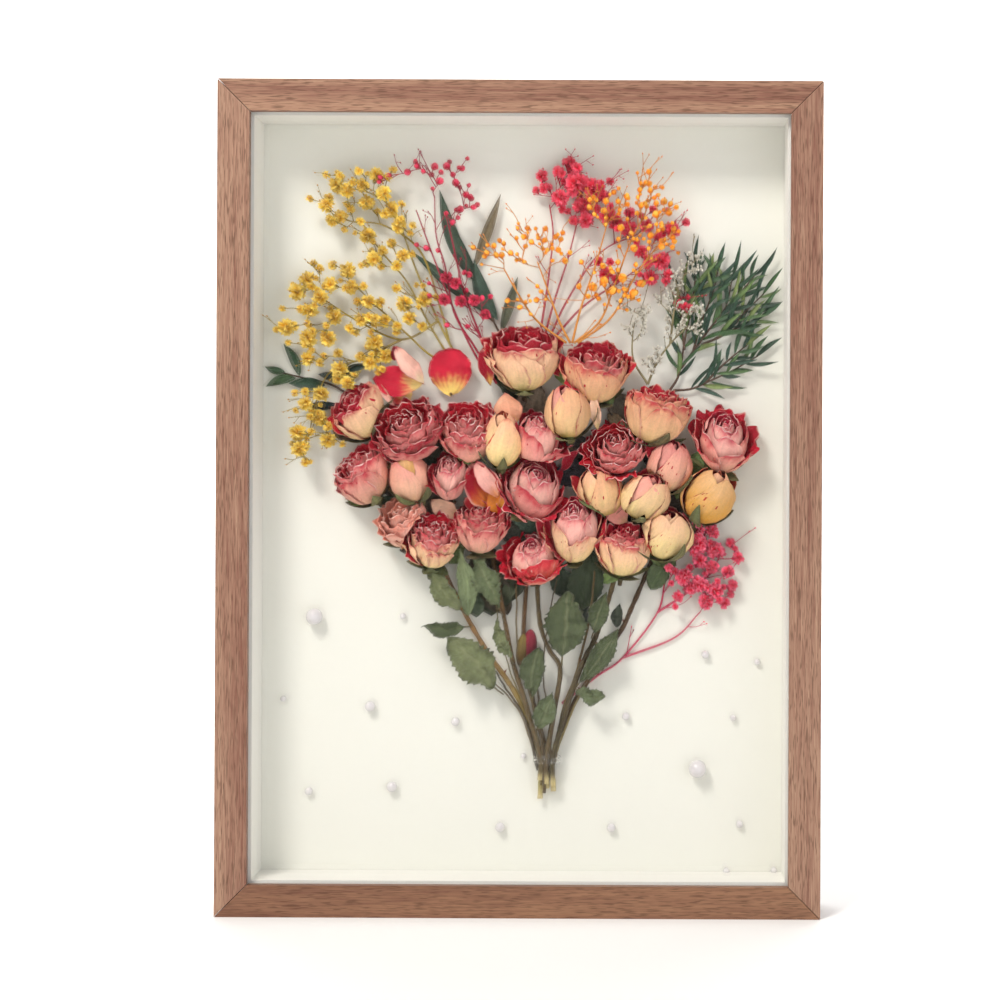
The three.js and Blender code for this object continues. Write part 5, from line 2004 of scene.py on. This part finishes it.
class FrameCase:
    """The wooden frame with its sheets, tabs and hanger: the CAD's own solids with finishes."""

    TOP = ("rail_top",)
    BOTTOM = ("rail_bottom",)
    UPRIGHT = ("rail_left", "rail_right")
    STEEL = ("tab_top", "tab_bottom", "tab_left", "tab_right", "hanger_plate")

    def __init__(self, nodes: dict[str, Object]) -> None:
        self.nodes = nodes

    def dress(self) -> None:
        """Gives every node of the frame its finish and rounds its edges, by a radius in mm."""
        looks = {
            self.TOP: (WoodFoil("walnut_foil_top", Axis.ACROSS, "#a68066"), 0.5),
            # The bottom rail's foil has darker tones than the other rails: painted shade, since
            # less light falls on the bottom rail.
            self.BOTTOM: (WoodFoil("walnut_foil_bottom_painted_shade", Axis.ACROSS, "#946b4e", "#6e4532"), 0.5),
            self.UPRIGHT: (WoodFoil("walnut_foil_upright"), 0.5),
            ("glazing",): (Glazing(), 0.0),
            # White paper over foam, cut in strips: matt and almost without texture.
            ("spacer_frame",): (Plain("white_foam_board", "#efeee8", 0.85, grain=0.6,
                                      speckle=0.01), 0.15),
            # Uncoated card, pressed and dyed through: quite matt, with a fine tooth.
            ("card",): (Plain("cream_card", "#e8e8df", 0.92, grain=0.35, speckle=0.012), 0.0),
            # Raw hardboard of pressed wood fibre: brown, dull and speckled.
            ("back_panel",): (Plain("brown_fibreboard", "#8e6f4c", 0.9, grain=1.6,
                                    speckle=0.22), 0.2),
            # Rolled and zinc-plated steel strip: grey with a soft bright sheen.
            self.STEEL: (Plain("bright_steel", "#9b9da0", 0.4, 1.0, grain=0.5, speckle=0.06),
                         0.08),
        }
        for names, (finish, radius) in looks.items():
            material = finish.build()
            for name in names:
                node = self.nodes[name]
                node.data.materials.clear()
                node.data.materials.append(material)
                if radius:
                    bevel = node.modifiers.new("Rounded edges", "BEVEL")
                    bevel.width = radius * MM
                    bevel.segments = 2
                    bevel.limit_method = "ANGLE"
                    bevel.harden_normals = True
                LOG.info("dressed %s in %s", name, finish.name)


@dataclass(frozen=True)
class ThreadTie:
    """Clear thread wound round the stems, with small beads of glue.

    Attributes:
        centre: its middle as x, h and z, in millimetres.
        half: half its width and half its depth.
        thread: half the thickness of the thread.
        turns: how often it is wound.
        glue: for each bead its place from the middle and its radius.
    """

    centre: Point = (14.0, 6.0, 80.0)
    half: Place = (7.4, 4.9)
    thread: float = 0.2
    turns: int = 5
    glue: tuple[tuple[float, float, float, float], ...] = (
        (-1.5, 4.8, 1.8, 0.9), (2.4, 4.7, -0.8, 0.8), (0.6, 4.9, 3.0, 0.6))

    def build(self, material: Material) -> Object:
        """Makes the windings and beads.

        Args:
            material: the thread's finish.

        Returns:
            One object of both.
        """
        basket = Basket()
        tint = linear("#e9e7df")
        x, h, z = self.centre
        wide, deep = self.half
        line = np.array([over_card(x + wide * math.cos(t), h + deep * math.sin(t),
                                   z - 1.6 + 0.105 * t + 0.25 * math.sin(2.3 * t))
                         for t in np.linspace(0, 2 * math.pi * self.turns, 30 * self.turns)])
        basket.tube(line, np.full(len(line), self.thread), tint, sides=6)
        for dx, dh, dz, size in self.glue:
            basket.ball(over_card(x + dx, h + dh, z + dz), np.array([1, 0.7, 0.8]) * size,
                        np.eye(3), (tint, tint))
        return basket.build("windings_thread_tie", material)


@dataclass(frozen=True)
class Bead:
    """A pearl glued on the card: its place across and up and its diameter in millimetres."""

    name: str
    x: float
    z: float
    wide: float


BEADS = tuple(Bead(f"pearl_{order:02}", *row) for order, row in enumerate((
    (-130.2, 111.8, 3.3), (-82.6, 108.0, 5.8), (-36.1, 99.8, 4.8), (-116.0, 61.5, 4.4),
    (-70.6, 64.2, 5.8), (-11.5, 42.3, 5.4), (49.2, 42.3, 4.9), (56.9, 103.1, 4.3),
    (100.1, 137.0, 4.4), (-65.1, 157.2, 3.4), (128.5, 133.1, 3.6), (115.4, 102.5, 3.6),
    (119.2, 44.5, 4.0), (138.0, 19.4, 3.4), (112.1, 19.0, 3.6), (1.1, 81.2, 3.0)), 1))


@dataclass(frozen=True)
class Pearls:
    """Small pearls on the card, and the two large ones that stand for CAD nodes."""

    large: tuple[str, ...] = ("pearl_large_left", "pearl_large_right")
    rows: int = 16
    columns: int = 24

    def ball(self, name: str, centre: Array, radius: float, material: Material) -> Object:
        """Makes one pearl.

        Args:
            name: its name.
            centre: its middle.
            radius: its radius.
            material: its finish.

        Returns:
            Its object.
        """
        basket = Basket()
        tint = np.ones(3)
        basket.ball(centre, np.full(3, radius), np.eye(3), (tint, tint), self.rows, self.columns)
        return basket.build(name, material)

    def build(self, material: Material) -> list[Object]:
        """Makes all pearls.

        Args:
            material: their finish.

        Returns:
            Their objects.
        """
        made = []
        for bead in BEADS:
            radius = bead.wide / 2
            centre = over_card(bead.x, radius - 0.1, bead.z)
            made.append(self.ball(bead.name, centre, radius, material))
        for node in self.large:
            low, high = (np.array(corner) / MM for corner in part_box(node))
            radius = float((high - low)[0]) / 2 - 0.1
            pearl = self.ball(f"round_{node}", (low + high) / 2, radius, material)
            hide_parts(node)
            made.append(pearl)
        return made


@dataclass(frozen=True)
class Studio:
    """Camera, floor, backdrop, lights and render settings.

    Attributes:
        reach: distance of the camera from the front of the frame, in millimetres.
        front: the y of that front.
        eye: the camera's place across and up.
        picture: width of the picture in the plane of the front.
        sensor: width of the sensor.
        roll: turn about the way that it looks, in degrees.
        shift: shift of the picture, as a share of its width.
        middle: what the lights look at, in metres.
    """

    reach: float = 1146.0
    front: float = -22.5
    eye: Place = (66.7, 240.3)
    picture: float = 529.2
    sensor: float = 36.0
    roll: float = -0.26
    shift: Place = (-0.145, -0.035)
    middle: Point = (0.0, 0.0, 0.23)

    def camera(self) -> None:
        """Places the camera straight in front, its picture shifted as the photo's crop is."""
        data = bpy.data.cameras.new("camera")
        data.sensor_width = self.sensor
        data.lens = self.sensor * self.reach / self.picture
        data.shift_x, data.shift_y = self.shift
        data.clip_start, data.clip_end = 0.05, 20.0
        eye = bpy.data.objects.new("camera", data)
        eye.location = (self.eye[0] * MM, (self.front - self.reach) * MM, self.eye[1] * MM)
        eye.rotation_euler = (math.radians(90), math.radians(self.roll), 0)
        bpy.context.scene.collection.objects.link(eye)
        bpy.context.scene.camera = eye

    def floor(self) -> None:
        """Makes a pale floor that curves up into a backdrop."""
        depth = np.array([-6.0, 0.5, 1.6, 2.0, 2.3, 2.4, 2.4])
        height = np.array([0.0, 0.0, 0.03, 0.15, 0.45, 0.9, 4.0])
        basket = Basket()
        x = np.linspace(-6, 6, 5)
        points = np.stack([np.broadcast_to(x[None, :], (7, 5)),
                           np.broadcast_to(depth[:, None], (7, 5)),
                           np.broadcast_to(height[:, None], (7, 5))], axis=-1) / MM
        basket.grid(points, np.ones(3))
        paper = Plain("white_paper_floor", "#fdfdfc", 0.9).build()
        basket.build("floor", paper)

    def light(self, name: str, at: Point, aim: Point, size: float, power: float,
              colour: str) -> None:
        """Adds one soft light.

        Args:
            name: its name.
            at: its place, in metres.
            aim: what it looks at, in metres.
            size: the side of its square face.
            power: its power in watts.
            colour: its colour.
        """
        data = bpy.data.lights.new(name, "AREA")
        data.size = size
        data.energy = power
        data.color = linear(colour)
        lamp = bpy.data.objects.new(name, data)
        lamp.location = at
        way = Vector(aim) - Vector(at)
        lamp.rotation_euler = way.to_track_quat("-Z", "Y").to_euler()
        bpy.context.scene.collection.objects.link(lamp)

    def build(self) -> None:
        """Makes the whole studio."""
        self.camera()
        self.floor()
        self.light("window", (-0.7, -1.3, 1.6), self.middle, 0.5, 29.5, "#fffaf4")
        self.light("fill", (1.2, -1.7, 0.5), self.middle, 1.4, 8.0, "#f7f8ff")
        self.light("backdrop", (0.0, 1.0, 2.2), (0.0, 2.4, 0.9), 1.6, 60.0, "#ffffff")
        world = bpy.data.worlds.new("studio")
        world.use_nodes = True
        sky = world.node_tree.nodes["Background"]
        sky.inputs[0].default_value = (1, 1, 1, 1)
        sky.inputs[1].default_value = 0.48
        scene = bpy.context.scene
        scene.world = world
        scene.view_settings.view_transform = "Standard"
        scene.view_settings.look = "None"
        scene.view_settings.exposure = 0.0
        scene.cycles.max_bounces = 10
        scene.cycles.transparent_max_bounces = 12


def ride(made: Object, slot: str, *nodes: str) -> None:
    """Fixes a piece to the frame, in place of CAD nodes if it stands for any.

    Args:
        made: the piece.
        slot: the record's material slot; not used.
        nodes: the CAD nodes that it stands for.
    """
    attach(made, "root")
    if nodes:
        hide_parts(*nodes)
    LOG.info("%s: %d faces", made.name, len(made.data.polygons))


def main() -> None:
    """Builds the dressed frame, the bouquet and the studio."""
    logging.basicConfig(level=logging.INFO, format="%(message)s")
    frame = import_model()
    slot_of = {part["node"]: part["material_slot"] for part in frame["record"]["subparts"]}
    FrameCase(frame["nodes"]).dress()
    # Air-dried petals: papery and dull, finely veined from foot to rim.
    petals = Dried("dried_petal", vein=26, mottle=1.2, depth=0.1, relief=0.5, sheen=0.05).build()
    rooms: list[Room] = []
    for seed, look in enumerate(HEADS):
        ride(RoseHead(look, seed).build(petals, rooms), slot_of[look.node], look.node)
    for node, looks in LOOSE.items():
        ride(LoosePetals(f"skin_{node}", looks).build(petals), slot_of[node], node)
    ride(LoosePetals("stray_petals", STRAY).build(petals), "crimson_petals")
    # Dried rose bark and leaves: rough, mottled, with hardly a sheen.
    bark = Dried("dried_rose_stem_and_leaf", vein=10, mottle=0.9, depth=0.3, relief=0.8).build()
    for seed, look in enumerate(STEMS):
        ride(RoseStem(look, seed).build(bark), slot_of[look.node], look.node)
    ride(LeavesBehind().build(bark), "rose_stem")
    ride(ThinFibres().build(bark), "rose_stem")
    # Dyed and dried florets: matt, strong in colour, almost without veins.
    florets = Dried("dyed_dried_floret", vein=6, mottle=0.8, depth=0.14, relief=0.3).build()
    for seed, look in enumerate(SPRAYS):
        ride(Spray(look, seed).build(florets), slot_of[look.node], look.node)
    # Preserved and dyed leaves: dark, smooth, with a slight gloss.
    leaves = Dried("dried_green_leaf", 0.5, vein=5, mottle=1.5, depth=0.2, relief=0.3).build()
    for seed, look in enumerate(SPRIGS):
        ride(Sprig(look, seed).build(leaves), slot_of[look.node], look.node)
    branch = NeedleLook()
    ride(NeedleBranch(branch, 9).build(leaves), slot_of[branch.node], branch.node)
    # Drawn nylon thread and set glue: clear, and shown mostly by their bright edges.
    thread = Glazing("clear_thread_and_glue", 0.8).build()
    ride(ThreadTie().build(thread), "clear_thread", "thread_tie")
    # Plastic beads dipped in pearl lacquer: a pale glow under a clear glossy coat.
    pearl = Plain("pearl_lustre", "#d9d5d7", 0.25, coat=1.0, ior=1.6, grain=1.6,
                  speckle=0.03).build()
    for bead in Pearls().build(pearl):
        ride(bead, "pearl")
    Studio().build()


if __name__ == "__main__":
    main()
